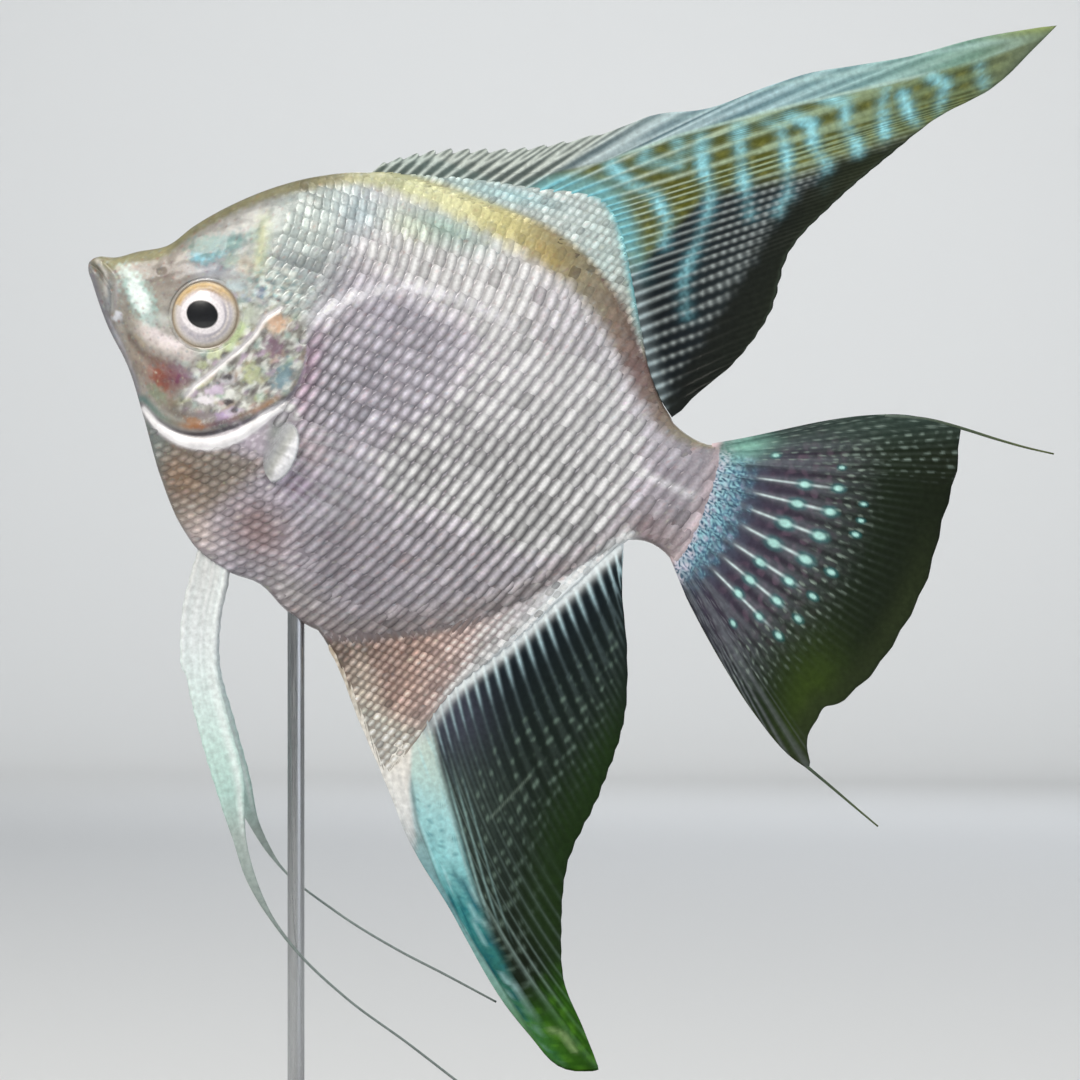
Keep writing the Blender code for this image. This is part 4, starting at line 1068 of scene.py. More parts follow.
# Each guide of a fan: the ray's number, the place of its root, and that of its end on the margin.
DORSAL_GUIDES = [
    (0, 32.2, 26.4, 33.2, 28.4), (3, 36.6, 27.2, 39.2, 32.6), (6, 41, 27.5, 46, 35.4),
    (10.5, 48, 27.6, 57, 41), (12, 50, 27.6, 63, 45.3), (13, 51, 27.6, 72, 51.3), (14, 52, 27.6, 84, 61.2),
    (15, 53, 27.5, 97, 69.1), (16, 54.2, 27.4, 115.2, 81), (17.2, 55.6, 27.3, 110.8, 71.2),
    (21.5, 60.7, 26.9, 101.5, 58.6), (29, 69.6, 22.7, 93.4, 42.6), (36, 78, 14.8, 91.9, 26.5),
    (39, 81.6, 11.1, 89.4, 19.2), (41, 84.1, 9.3, 85.2, 10.8)]
ANAL_GUIDES = [
    (0, 49.6, -37, 51, -39), (3, 52, -36.4, 58.1, -46.4), (5, 53.6, -35.7, 64.9, -53.4),
    (6.5, 55.2, -35, 72.4, -61.1), (7.5, 56.3, -34.4, 85.3, -71.4), (8.3, 57.2, -34, 96.7, -79.4),
    (9.2, 58.2, -33.5, 107.2, -81.2), (12, 61.5, -31.8, 99.5, -71.6), (16, 66, -29.1, 95.2, -61.5),
    (22, 73, -22.9, 93.8, -44.5), (27, 78.3, -16.2, 92.6, -31), (30, 82, -11.7, 88, -19.2),
    (32, 84.1, -9.6, 84.9, -11.6)]
CAUDAL_GUIDES = [
    (-0.6, 90.7, 7.9, 94.6, 10.2), (0, 90.8, 7.3, 106, 17.5), (1, 91, 6.6, 122.6, 22.4),
    (2, 91.1, 5.3, 124.4, 16.8), (3, 91.2, 3.9, 124.9, 12.1), (4, 91.2, 2.6, 125.6, 7),
    (5, 91.2, 1.2, 126, 1.2), (6, 91.2, -0.4, 125.6, -4.6), (7, 91.1, -2.6, 124.7, -9.7),
    (8, 91, -4.2, 123.4, -14.9), (9, 90.9, -5.9, 121.3, -19.2), (10, 90.8, -7.2, 118.8, -23.4),
    (11, 90.8, -8, 119.3, -28.4), (12, 90.7, -8.6, 108, -24.2), (12.6, 90.7, -9, 95.6, -14)]
DORSAL_MARGIN = [
    (31.6, 27), (36, 30.5), (40, 33), (45, 35), (50, 37), (57, 41), (63, 45.3), (67, 49), (72, 51.2),
    (80, 58), (85, 62), (90, 65), (97, 69.1), (105, 75), (115.3, 81.2)]
DORSAL_REAR = [
    (115.3, 81.2), (113.3, 76.6), (110.2, 69.9), (103.9, 62.3), (99.9, 55.5), (94.8, 46), (91.4, 37.4),
    (91.9, 28), (89.6, 19.6), (86.3, 13.6), (84.6, 9.6)]
ANAL_MARGIN = [
    (49.2, -37.6), (52.5, -40.3), (58.1, -46.4), (64.9, -53.4), (72.4, -61.2), (79.7, -66.7),
    (85.3, -71.5), (91, -76), (96.7, -79.5), (102.5, -82.3), (108.3, -80.9)]
ANAL_REAR = [
    (108.3, -80.9), (103.5, -75.7), (99, -71), (95.8, -64), (93.3, -55.3), (93.9, -44), (93.3, -32.7),
    (90.4, -24.2), (86.5, -16.2), (84.3, -10.2)]
TAIL_TOP = [(90.9, 8.1), (95, 10.5), (100, 13.8), (105, 17), (110, 19.7), (115, 21.7), (122, 22.6)]
TAIL_REAR = [
    (122.8, 22.6), (124.2, 18), (125.2, 9.6), (126.1, 0), (125.2, -8), (123.6, -14.5), (121.2, -19.4),
    (118.6, -23.6), (118.9, -27.6), (120, -29.3)]
TAIL_BOTTOM = [
    (120, -30.2), (118, -29.8), (110, -25.6), (105, -22), (100, -18), (95, -13.6), (90.9, -9.7)]
CAUDAL_ROOT = [(90.9, 8.1), (90.7, -9.7)]
TAIL_THREAD_UPPER = [(112, 20.3), (118, 22), (122.4, 22.5), (128, 22.85), (132, 23.2), (136, 23.75)]
TAIL_THREAD_LOWER = [(112, -26.5), (116, -28.6), (119.6, -29.8), (124, -31.3), (128, -32.7), (131.8, -34)]
# Turquoise bands across the dorsal fin, the lines where its colours change, and beads on the tail's rays.
DORSAL_BANDS = [
    [(63, 39.2), (66.6, 38), (71.2, 38.2), (73.5, 34.9), (73.8, 31.4)],
    [(66.9, 42.7), (66.9, 41.2), (71.6, 42.5), (71.4, 44.5), (70.2, 46.1)],
    [(74.1, 48.1), (75.5, 44.5), (77.3, 40.5), (78.3, 36.7), (78.8, 32.8), (79, 28.7), (80.7, 23.6)],
    [(78.1, 50.7), (79.6, 48.2), (81.5, 45.3), (82.8, 42.6), (83.6, 39.8)],
    [(81.1, 52.9), (83.3, 52.7), (84.8, 50.2), (87.1, 47.4), (88.6, 44.9), (88.1, 41.6)],
    [(84.8, 55.4), (87.9, 55.5), (89.5, 51.5), (91.3, 50.1), (92.5, 46.9)],
    [(88, 59.2), (91.1, 59.4), (92.2, 56.7), (94.7, 55.5), (96, 53.5)],
    [(95.2, 63.6), (95.6, 60.6), (96.9, 57.9), (97.7, 57.2)], [(98.7, 63.9), (99.9, 62.2), (101, 60.6)],
    [(100.4, 67.6), (103.2, 67.1), (103.8, 64.3)], [(106.4, 71.5), (107.9, 69)]]
DORSAL_LEAD = [(50, 31.5), (61.9, 39.3), (70.5, 46.7), (82.7, 55.6), (95, 64), (107.3, 72.6), (115, 79.5)]
DORSAL_OLIVE = [
    (66, 20), (72, 27.4), (74.1, 32.7), (77.2, 40.3), (83.1, 44.5), (89.1, 48.4), (94.3, 52.6),
    (98.8, 56.6), (110, 65)]
DORSAL_FADE = [
    (9, 82.5), (16.9, 83.6), (23.1, 84.8), (28.7, 85.8), (33.8, 86.9), (40.5, 88), (45.3, 89.8),
    (51.5, 93.6), (56, 99), (62, 105.5), (70, 111.5)]
CREAM_REAR = [(-61.2, 72.4), (-59.5, 71.9), (-53.2, 68.5), (-47.5, 66.7), (-42.6, 65.4), (-36, 60)]
TEAL_FRONT = [
    (-80.5, 99), (-74.4, 90.6), (-68.7, 83), (-63.1, 76.6), (-57, 71.5), (-50.4, 67.6), (-44, 65.4)]
TEAL_REAR = [
    (-81, 102.5), (-78.3, 98.6), (-73.7, 92.5), (-67.6, 85.8), (-61.5, 80.8), (-55.6, 76.4), (-48.1, 70.8),
    (-43, 67.8)]
TAIL_BEADS = [
    (105, 7.2, 0.62), (109.6, 8.4, 0.55), (105, 4.3, 0.7), (109.7, 4.9, 0.66), (104.4, 1.1, 0.8),
    (109.5, 1.2, 0.76), (103.9, -2.1, 0.78), (108.9, -2.6, 0.78), (112.9, -3, 0.52), (103.1, -5.3, 0.62),
    (107.8, -6.3, 0.62), (111.7, -7.1, 0.48), (102.6, -8.1, 0.64), (107.2, -9.5, 0.6), (110.9, -10.8, 0.5),
    (101.8, -10.5, 0.56), (105.7, -12.5, 0.5), (109.2, -14, 0.5), (114.2, 3.2, 0.42), (114.2, 5.3, 0.34),
    (99.7, 9.6, 0.4), (109, 11.3, 0.34), (102.6, -14.7, 0.4), (113.7, 7.6, 0.34)]


# Bow of the rays by number, as a share of their length: the anal fin's front rays curve like its edge.
STRAIGHT = [(0, 0), (1, 0)]
ANAL_BOW = [(3, 0), (6.5, -0.04), (9, -0.07), (20, -0.05), (32, 0)]


def fan_grid(guides, margin, rays, per_ray, rows, notch, bow=STRAIGHT):
    """Places of a fan: rays carried from the root line to the margin, with their numbers.

    Guides tie ray numbers to roots and to places along the margin, and numbers between are
    interpolated. Each ray is a straight line with a bow, as a share of its length. The margin is cut
    back by a notch in millimetres. Bow and notch depend on the ray's number.
    """
    number, root_along, root_up, end_along, end_up = np.array(guides).T
    where = near(margin, end_along, end_up)[1]
    length = lengths(margin)
    ray = np.linspace(number[0], number[-1], int(rays * per_ray) + 1)
    start = np.stack([np.interp(ray, number, column) for column in (root_along, root_up)])
    at = np.interp(ray, number, where) * length[-1]
    end = np.stack([np.interp(at, length, column) for column in margin.T])
    run = end - start
    reach = np.hypot(*run)
    share = 1 - np.minimum((0.18 + notch(ray)) / reach, 0.5)
    v = np.linspace(0, 1, rows)[:, None]
    lift = read(bow, ray) * v * (1 - v) * 4
    along = start[0] + run[0] * share * v - lift * run[1]
    up = start[1] + run[1] * share * v + lift * run[0]
    return along, up, np.broadcast_to(ray, along.shape), np.broadcast_to(v, along.shape)


def ridges(ray, v, width=0.17, split=(0.35, 0.85)):
    """Height of the bony rays from 0 to 1: one ridge at each whole number, which forks into two outward."""
    f = ray - np.round(ray)
    fork = 0.25 * ease(split[0], split[1], v)
    return np.clip(bell(f - fork, width) + bell(f + fork, width) * (fork > 0.004), 0, 1)


def fan_half(ray, v, out, ridge, root_half):
    """Half thickness of a fin: the root's swelling, thin membrane between ridges, drawn in at its edges."""
    whole = 0.3 + (root_half - 0.3) * thinning(out)
    cover = ease(1, 6, out)
    half = whole * (0.62 + cover * (0.34 * ridge - 0.14))
    side = np.minimum(ray - ray.min(), ray.max() - ray) / 0.5
    return half * quarter(side) * quarter((1 - v) * 40)


def add_fan(name, node, grid, root_line, root_half, lean, split, tone_of, material):
    """One fin in the middle plane, made as a closed double sheet that leans aside towards its margin."""
    along, up, ray, v = grid
    out = near(root_line, along, up)[0]
    ridge = ridges(ray, v, split=split)
    half = fan_half(ray, v, out, ridge, root_half)
    # Under the skin of its sheath a fin keeps within the skin, so that no ray shows through.
    low, high = skin_limits(along)
    depth = np.minimum(up - low, high - up)
    room = 0.7 * half_thickness(along, up) + 1.5 * ease(1, 0.2, depth)
    half = np.where(along < SHEATHS_END, np.minimum(half, room), half)
    wave = 0.12 * ease(8, 30, out) * np.sin(1.3 * ray + 2 * v)
    add_sheet(name, node, (node,), (along, leaning(out, lean) + wave, up), half, material,
              {"tone": tone_of(along, up, ray, v, ridge)})


def dorsal_tone(a, h, ray, v, ridge):
    """Olive cells between cream rays, charcoal ones below, broken turquoise bands, grey-blue front edge."""
    charcoal = ease(2.2, -2.2, h - read(DORSAL_OLIVE, a))
    past = a - read(DORSAL_FADE, h)
    ahead = h - read(DORSAL_LEAD, a)
    web = graded("5d5e28 52541f 565a2b 424728", [62, 75, 92, 108], a)
    web = marks(web, a, h, [
        ("7b7d40", ease(0.1, 0.7, ripple(a, h, 1.9, 5)) * 0.6),
        (graded("10161a 191f23 20272a", [0, 6, 12], near(smooth(DORSAL_SHEATH, 1), a, h)[0]),
         charcoal)])
    rays = graded("c6d3c4 abbf9f 7d8d64", [62, 80, 102], a)
    rays = lay(rays, "8f969a", charcoal * 0.9)
    # Where the rays fade out they break up into rows of pale beads.
    breaking = ease(-10, -4, past) * charcoal
    onward = (0.77 * a + 0.64 * h) / 1.35 + 0.5 * np.round(ray)
    bead = bell(onward % 1 - 0.5, 0.24)
    strength = (0.8 - 0.55 * breaking + 0.75 * breaking * bead) * ease(1.6, -1.6, past)
    cell = np.floor(ray)
    bands, core = np.zeros(a.shape), np.zeros(a.shape)
    for k, path in enumerate(DORSAL_BANDS):
        jog = 0.62 * np.sin(12.99 * cell + 4.1 * k)
        light = 0.66 + 0.34 * np.sin(7.3 * cell + 2 * k)
        line = near(path, a + 0.75 * jog, h + 0.66 * jog)[0]
        bands = np.maximum(bands, bell(line, 1.2) * light)
        core = np.maximum(core, bell(line, 0.72) * light)
    grain = 0.85 + 0.35 * ripple(a, h, 0.9, 9)
    base = near(smooth(DORSAL_SHEATH, 1), a, h)[0]
    rear = ease(-1.8, 1.2, past + 0.6 * ripple(a, h, 3, 2))
    tone = marks(web, a, h, [
        (rays, ridge ** (1.3 - 0.4 * charcoal) * strength),
        # Each band is a stack of short bars, one to a cell, a little out of line with each other.
        ("5aa3b6", bands * grain * (0.9 - 0.5 * charcoal) * (0.65 + 0.35 * (1 - ridge))),
        ("a6e6f0", core * grain * (0.85 - 0.4 * charcoal)),
        # Next to the sheath the rays are bright blue, and the rear margin is thin, dark and plain.
        ("7cc4d2", bell(base - 0.4, 1.7) * ease(24, 31, h) * (0.55 + 0.45 * ridge)),
        ("b5c9cf", bell(base, 1.3) * ease(31, 24, h) * (0.15 + 0.6 * ridge)),
        (graded("1c1f1d 20241e 2b3121 323b24", [84, 90, 98, 108], a), rear * 0.95),
        ("3a4338", rear * bell(v - 0.985, 0.012) * 0.6)])
    # Leading edge: thin pale lines on grey-blue membrane, then mint and yellow-green at the tip.
    front = graded("56666a 4f646c 4c6d78 5f8388 6a8f80 4d5c3c", [40, 60, 74, 90, 104, 115], a)
    fine = bell((2 * ray) % 1 - 0.5, 0.17)
    lead = graded("c4ccca bccfd3 aecdd4 a2c6c6 8fb0a2 6f8066", [45, 66, 80, 92, 104, 115], a)
    edge = marks(front, a, h, [
        (lead, 0.12 + 0.75 * fine + 0.5 * ridge),
        ("b8d9d6", bell(v - 0.93, 0.03) * ease(12, 14, ray) * 0.4)])
    tip = ease(105, 113, a)
    tone = marks(tone, a, h, [
        (edge, ease(-0.35, 0.35, ahead) * ease(17.6, 16.6, ray)),
        ("b4d0c6", bell(ahead, 0.32) * ease(60, 66, a) * ease(104, 98, a) * 0.75), ("7f8e74", tip * 0.6),
        ("93a362", bell(h - 0.62 * a - 9.6, 0.8) * tip * 0.7)])
    # Short spines at the front, silver with dark gaps.
    spine = lay(even("36423f", a), "c9d2cb", 0.1 + 0.9 * ridge)
    return lay(tone, spine, ease(13, 11.5, ray) * 0.92)


def anal_tone(a, h, ray, v, ridge):
    """Cream scaly strip in front, a narrowing teal band, pale lines beside it, white ray bases, dark web."""
    rim = rim_of_anal(a, h)
    teal_front, teal_rear, cream_rear = (read(line, h) for line in (TEAL_FRONT, TEAL_REAR, CREAM_REAR))
    web = graded("131c25 161f20 19231d 121b0e 10190a", [0, 6, 16, 32, 44], rim)
    rays = graded("dceff3 aecdd6 5f7176 44514d 37433a", [0, 2.6, 5, 13, 34], rim)
    strength = np.interp(rim, [0, 2.6, 5.5, 14, 30], [1, 0.85, 0.42, 0.34, 0.1])
    strength = strength * (0.35 + 0.65 * ease(66, 76, a))
    narrow = ridge ** (1 + 0.8 * ease(0.5, 5, rim))
    fibre = bell((3 * ray) % 1 - 0.5, 0.2) * ease(30, 8, rim) * ease(2, 6, rim) * ease(16, 9, ray)
    web = marks(web, a, h, [
        ("4b4d5e", 0.7, 71, -41.5, 4.5, 7, 20), ("39433f", 0.5, 76, -50, 5, 8, 20),
        ("1d3014", ease(0.7, 0.92, v) * ease(10, 14, ray) * ease(-24, -40, h)), ("53625f", fibre * 0.26)])
    speck = bell((rim + 0.15 * (a - 80)) / 1.7 % 1 - 0.5, 0.2) * ridge
    speck *= ease(-0.2, 0.5, ripple(a, h, 2.6, 8))
    lines = bell(ray % 1 - 0.5, 0.13) * ease(19, 13, ray) * ease(-42, -50, h)
    behind, before = a - teal_front, teal_rear - a
    trailing = bell(before + 1, 0.24) + 0.7 * bell(before + 2.3, 0.22) + 0.5 * bell(before + 3.6, 0.2)
    tone = marks(web, a, h, [
        (rays, narrow * strength * ease(0.99, 0.86, v)),
        # Pale specks in loose rows across the rays, and one faint slanting thread.
        ("80988a", speck * ease(6, 10, rim) * ease(0.92, 0.72, v) * 0.5),
        ("a9bfae", 0.2, [(80.6, -52.6), (83.7, -45)], 0.18),
        # Pale lines run down beside the teal band to the tip.
        ("9bb5ae", lines * (0.15 + 0.3 * ease(-60, -68, h) * ease(12.5, 10, ray))),
        # The band: pale turquoise at its top, deep teal further down, streaked along its length.
        ("a9c4c8", bell(behind + 0.9, 0.7) * ease(-44, -47, h) * ease(-60.5, -57.5, h)),
        ("9cc0be", trailing * ease(-46, -54, h) * ease(-69, -63, h) * 0.6)])
    teal = ease(-0.5, 0.3, behind) * ease(-1, 0.8, before) * ease(-42.5, -46.5, h - 0.4 * (a - 68))
    band = graded("ccd6cb bfdad4 a6d6d9 96d2d6 3f8f92 2a675f 437a4d", [44, 50, 55, 60, 66, 73, 79], -h)
    streak = ripple(0.07 * (0.67 * a - 0.74 * h), 0.74 * a + 0.67 * h, 1, 13)
    band = marks(band, a, h, [
        ("11505f", ease(0.1, 0.8, streak) * ease(-56, -63, h) * 0.75),
        ("1d6c7c", ease(0.5, 0.9, ripple(0.4 * a, h, 0.9, 3)) * ease(-50, -56, h) * 0.5),
        ("b5dfe3", ease(0.3, 0.9, -streak) * 0.45), ("b9dede", bell(before - 0.1, 0.25) * 0.5)])
    margin = ease(0.3, -0.5, behind) * ease(-58, -60.5, h)
    tone = marks(tone, a, h, [
        (band, teal), (graded("8fb4b8 6f9ba2 7fa9a2 6d9a76", [60, 66, 73, 80], -h), margin)])
    # The cream strip carries rows of small beads, like the sheath's scales.
    strip = ease(0.4, -0.4, a - cream_rear) * ease(-61.6, -60.8, h)
    cream = graded("b9a892 dad4c8 f2f0ea ecf0f1 a5b3bc", [38, 44, 50, 56, 61], -h)
    p, q = 0.42 * a - 0.91 * h, 0.91 * a + 0.42 * h
    row = np.floor(q / 1.05)
    beads = bell(q / 1.05 % 1 - 0.5, 0.3) * bell((p / 1.15 + 0.5 * row) % 1 - 0.5, 0.32)
    cream = marks(cream, a, h, [
        ("7d7267", (1 - beads) * 0.22), ("f4f1ec", beads * 0.5)])
    green = ease(91.5, 102, a - 0.45 * (h + 74)) * ease(-62, -72, h)
    return marks(tone, a, h, [
        (cream, strip),
        # Bright green at the tip, with one pale streak.
        ("376c19", green * (0.85 - 0.3 * ridge)),
        ("5c962c", green * ease(0.2, 0.8, ripple(a, h, 2.2, 3)) * 0.45),
        ("9dbb82", 0.6, [(99.4, -77.5), (101.4, -77.6), (103.6, -79.2)], 0.4),
        ("eef6f8", bell(rim, 0.8) * ease(66, 70, a) * 0.9)])


def caudal_tone(a, h, ray, v, ridge):
    """Blue speckle at the root, then mauve membrane, pale beaded rays, fine dashes and a green corner."""
    out = np.hypot(a - 80, 0.9 * h)
    web = graded("7f9fae 4a586a 423d4c 36313c 252b28 1a2317 1b2216", [12, 17, 21, 27, 32, 37, 46], out)
    coarse = ripple(a, h, 1.9, 6)
    fine = ripple(a + 0.3 * coarse, 1.1 * h - 0.3 * coarse, 0.62, 3)
    web = marks(web, a, h, [
        ("2b3036", ease(11, 12.5, ray) * 0.7),
        ("6a5566", ease(0, 0.7, coarse) * bell(out - 26, 5) * ease(10.5, 9, ray) * 0.55)])
    # Fine pale lines: each ray splits again and again towards the margin.
    thin = bell((4 * ray) % 1 - 0.5, 0.2) * ease(24, 31, out)
    dashes = ease(0.25, 0.75, ripple(0.55 * out, 5 * ray, 1.2, 11))
    dashes *= ease(26, 31, out) * ease(38.5, 32.5, out)
    streaks = ease(0, 0.8, ripple(0.5 * out, 6 * ray, 1.1, 21)) * ease(9.4, 10.6, ray) * ease(38, 24, out)
    root = ease(19.5, 14.5, out + 1.3 * coarse) * ease(-14, -10, h)
    nearest = np.abs(ray - np.round(ray))
    thread = bell(nearest, 0.06) * ease(18.5, 20.5, out) * ease(31.5, 27, out) * ease(2.4, 3.2, ray)
    thread *= ease(9.8, 9, ray)
    beads, rings = np.zeros(a.shape), np.zeros(a.shape)
    for x, z, r in TAIL_BEADS:
        reach = math.hypot(x - 80, z)
        c, s = (x - 80) / reach, z / reach
        d = np.hypot(((a - x) * c + (h - z) * s) / 1.45, ((h - z) * c - (a - x) * s) / 0.88)
        beads = np.maximum(beads, ease(1.08, 0.45, d / r))
        rings = np.maximum(rings, ease(1.9, 1, d / r))
    upper = ease(1.7, 0.5, ray)
    along_top = bell((6 * ray) % 1 - 0.5, 0.2) * ease(2.6, 1.6, ray)
    return marks(web, a, h, [
        ("5b6a61", thin * ease(0.95, 0.65, v) * 0.16), ("7b838a", ridge * ease(0.75, 0.4, v) * 0.35),
        ("9aaba0", dashes * (0.1 + 0.58 * thin)), ("6d7077", streaks * 0.65),
        # Root: scaly lilac white, then a blue and turquoise speckle.
        ("5a8ba7", root * 0.8), ("364559", root * ease(0, 0.85, -fine) * 0.8),
        ("a5dde4", root * ease(-0.25, 0.85, fine + 0.3 * coarse) * 0.8),
        ("b9b5cf", root * ease(0.2, 0.7, ripple(a, h, 1.6, 17)) * 0.45),
        ("b6dcdf", root * ease(-0.6, 0.4, fine) * 0.35, 94, 3, 2, 7),
        ("d8d2e0", ease(94.8, 92.4, a + 0.8 * coarse) * ease(-0.5, 0.3, fine) * 0.85),
        # Bright threads along the middle rays, with beads on them.
        ("d6e8ea", thread * 0.95), ("2f7274", rings * 0.5), ("b4e6df", beads * 0.95),
        # Olive green in the lower rear corner, and pale dashes along the upper edge.
        ("35461a", 0.95, 116.8, -20.5, 5, 8.5, 14), ("2b341f", ease(0.86, 0.97, v) * ease(3, 6, ray) * 0.8),
        ("35443f", upper * 0.8),
        ("8d9f96", along_top * (0.06 + 0.6 * ease(0.1, 0.7, ripple(0.9 * a, 5 * ray, 1.5, 7)))),
        ("8fc4b4", 0.8, 95.5, 9.2, 3.5, 1.8, 30), ("74797f", ease(10.4, 11.6, ray) * thin * 0.5),
        ("cdb9bd", ease(92.4, 91.2, a))])


def spine_notch(ray):
    """Cuts between the short dorsal spines, and a faint scallop between the soft rays."""
    deep = read([(0, 0.8), (4, 1.3), (9, 1.1), (12, 0.9), (14, 0.35), (16, 0), (18, 0.22), (41, 0.3)], ray)
    return deep * np.abs(2 * (ray - np.round(ray))) ** 1.4


def soft_notch(ray):
    """A faint scallop between the rays, with a few deeper nicks."""
    return 0.56 * np.abs(ray - np.round(ray)) + 0.5 * bell(ray - 9.6, 0.25)


def add_fins(material):
    """The dorsal, anal and tail fins, and the two threads that trail from the tail fin's corners."""
    top = np.concatenate([smooth(DORSAL_MARGIN, 0.8), smooth(DORSAL_REAR, 0.8)[1:]])
    bottom = np.concatenate([smooth(ANAL_MARGIN, 0.8), smooth(ANAL_REAR, 0.8)[1:]])
    rear = np.concatenate([smooth(line, 0.8) for line in (TAIL_TOP, TAIL_REAR, TAIL_BOTTOM)])
    add_fan("dorsal_fin_rays", "dorsal_fin", fan_grid(DORSAL_GUIDES, top, 41, 9, 134, spine_notch),
            BACK_LINE[::20], 1, DORSAL_LEAN, (0.45, 0.85), dorsal_tone, material)
    add_fan("anal_fin_rays", "anal_fin", fan_grid(ANAL_GUIDES, bottom, 32, 10, 152, soft_notch, ANAL_BOW),
            BELLY_LINE[::20], 1.3, ANAL_LEAN, (0.45, 0.85), anal_tone, material)
    add_fan("caudal_fin_rays", "caudal_fin", fan_grid(CAUDAL_GUIDES, rear, 13.2, 26, 142, soft_notch),
            CAUDAL_ROOT, 1.5, CAUDAL_LEAN, (0.1, 0.6), caudal_tone, material)
    for word, path in (("upper", TAIL_THREAD_UPPER), ("lower", TAIL_THREAD_LOWER)):
        along, up = smooth(path, 0.8).T
        middle = np.stack([along, leaning(near(CAUDAL_ROOT, along, up)[0], CAUDAL_LEAN), up], axis=1)
        radius = np.interp(np.linspace(0, 1, len(along)), [0, 0.35, 1], [0.24, 0.24, 0.12])
        ring = tube(middle, radius, 12)
        shades = graded("5d6a62 4a5647 57603f", [112, 122, 134], ring[..., 0])
        add_piece("tail_thread_" + word, "caudal_fin", (), in_world(*np.moveaxis(ring, -1, 0)),
                  ring_faces(ring), material, {"tone": shades.reshape(-1, 3)})


# Middle lines of the pelvic fins, as (along, up, width), and the clear pectoral fin's margin and root.
PELVIC_LEFT = [
    (29.8, -28.6, 3.4), (30.8, -31.4, 4.3), (31.6, -34.4, 4.9), (32.5, -40, 5.1), (35.1, -47.5, 4.9),
    (39.8, -54.6, 4.9), (44.5, -60.9, 4.6), (46.6, -64.4, 3.3), (48.5, -67.4, 2.1), (52.1, -72.2, 1.5),
    (55.6, -75.5, 0.9), (61, -79.1, 0.7), (71, -83.3, 0.6), (81, -86, 0.6), (90.5, -88.8, 0.6),
    (100.5, -91.6, 0.5)]
PELVIC_RIGHT = [
    (29.8, -28.6, 3.4), (30.8, -31.4, 4.3), (31.6, -34.4, 4.9), (32.5, -40, 5), (35.1, -47.2, 4.7),
    (40.2, -54.2, 4.4), (45.3, -60.6, 3.6), (49.8, -65.9, 1.5), (54.8, -69.8, 0.7), (64.8, -73.2, 0.6),
    (74.8, -75.1, 0.6), (82.8, -76, 0.6), (90.8, -77, 0.5)]
PECTORAL = [
    (34.2, -10.6), (40, -9.2), (48, -9), (53.5, -11.4), (55.6, -15.2), (54, -19.6), (48.6, -22.6),
    (41, -22.6), (35, -19.6)]
PECTORAL_ROOT = [(34, -10.8), (32.6, -11.8), (32, -14), (32.6, -16.6), (33.7, -18.6), (34.9, -19.5)]


def add_pelvic_fin(word, middle_line, side, material):
    """A ribbon along its middle line: a pleated white blade that narrows to a long grey thread.

    Across the ribbon the half thickness follows a half circle, with four low pleats on the blade.
    """
    line = smooth(middle_line, 0.5)
    run = np.gradient(line[:, :2], axis=0)
    run /= np.hypot(*run.T)[:, None]
    width = line[:, 2] * (0.94 - 0.36 * ease(1, 0.6, line[:, 2]))
    ragged = 1 - 0.05 * ease(2, 4, width) * np.abs(np.sin(1.1 * np.arange(len(line)) ** 0.9))
    x = np.sin(np.linspace(-np.pi / 2, np.pi / 2, 21))
    reach = (width * ragged / 2)[:, None] * x
    reach -= 0.75 * (ease(48.2, 47.2, -line[:, 1]) * ease(3, 5, width))[:, None] * (x < -0.5)
    along = line[:, 0, None] - run[:, 1, None] * reach
    up = line[:, 1, None] + run[:, 0, None] * reach
    far = np.hypot(along - line[0, 0], up - line[0, 1])
    blade = ease(1.2, 3, width)[:, None]
    pleat = 0.5 + 0.5 * np.cos(2 * np.pi * 2.5 * x)[None]
    whole = 0.3 + 0.6 * np.exp(-far / 12)
    thread = 0.55 + 0.45 * blade
    half = whole * thread * np.sqrt(1 - x ** 2) ** 0.7 * (1 - 0.45 * blade * (1 - pleat))
    middle = side * (1.3 + 0.085 * np.minimum(far, 45))
    tone = graded("c9cbcb dcdede e4eaec dcecea c8e2dc b6d5ce a8b5b1 808b89",
                  [0, 6, 16, 24, 31, 37, 43, 60], far)
    # Painted shade in the troughs of the pleats, and a pale streak along the blade.
    tone = marks(tone, along, up, [
        ("9fb2b0", blade * (1 - pleat) * 0.22), ("eef6f5", blade * bell(x - 0.6, 0.25)[None] * 0.6)])
    add_sheet("pelvic_fin_ribbon_" + word, "pelvic_fin", ("pelvic_fin_" + word,), (along, middle, up), half,
              material, {"tone": tone})


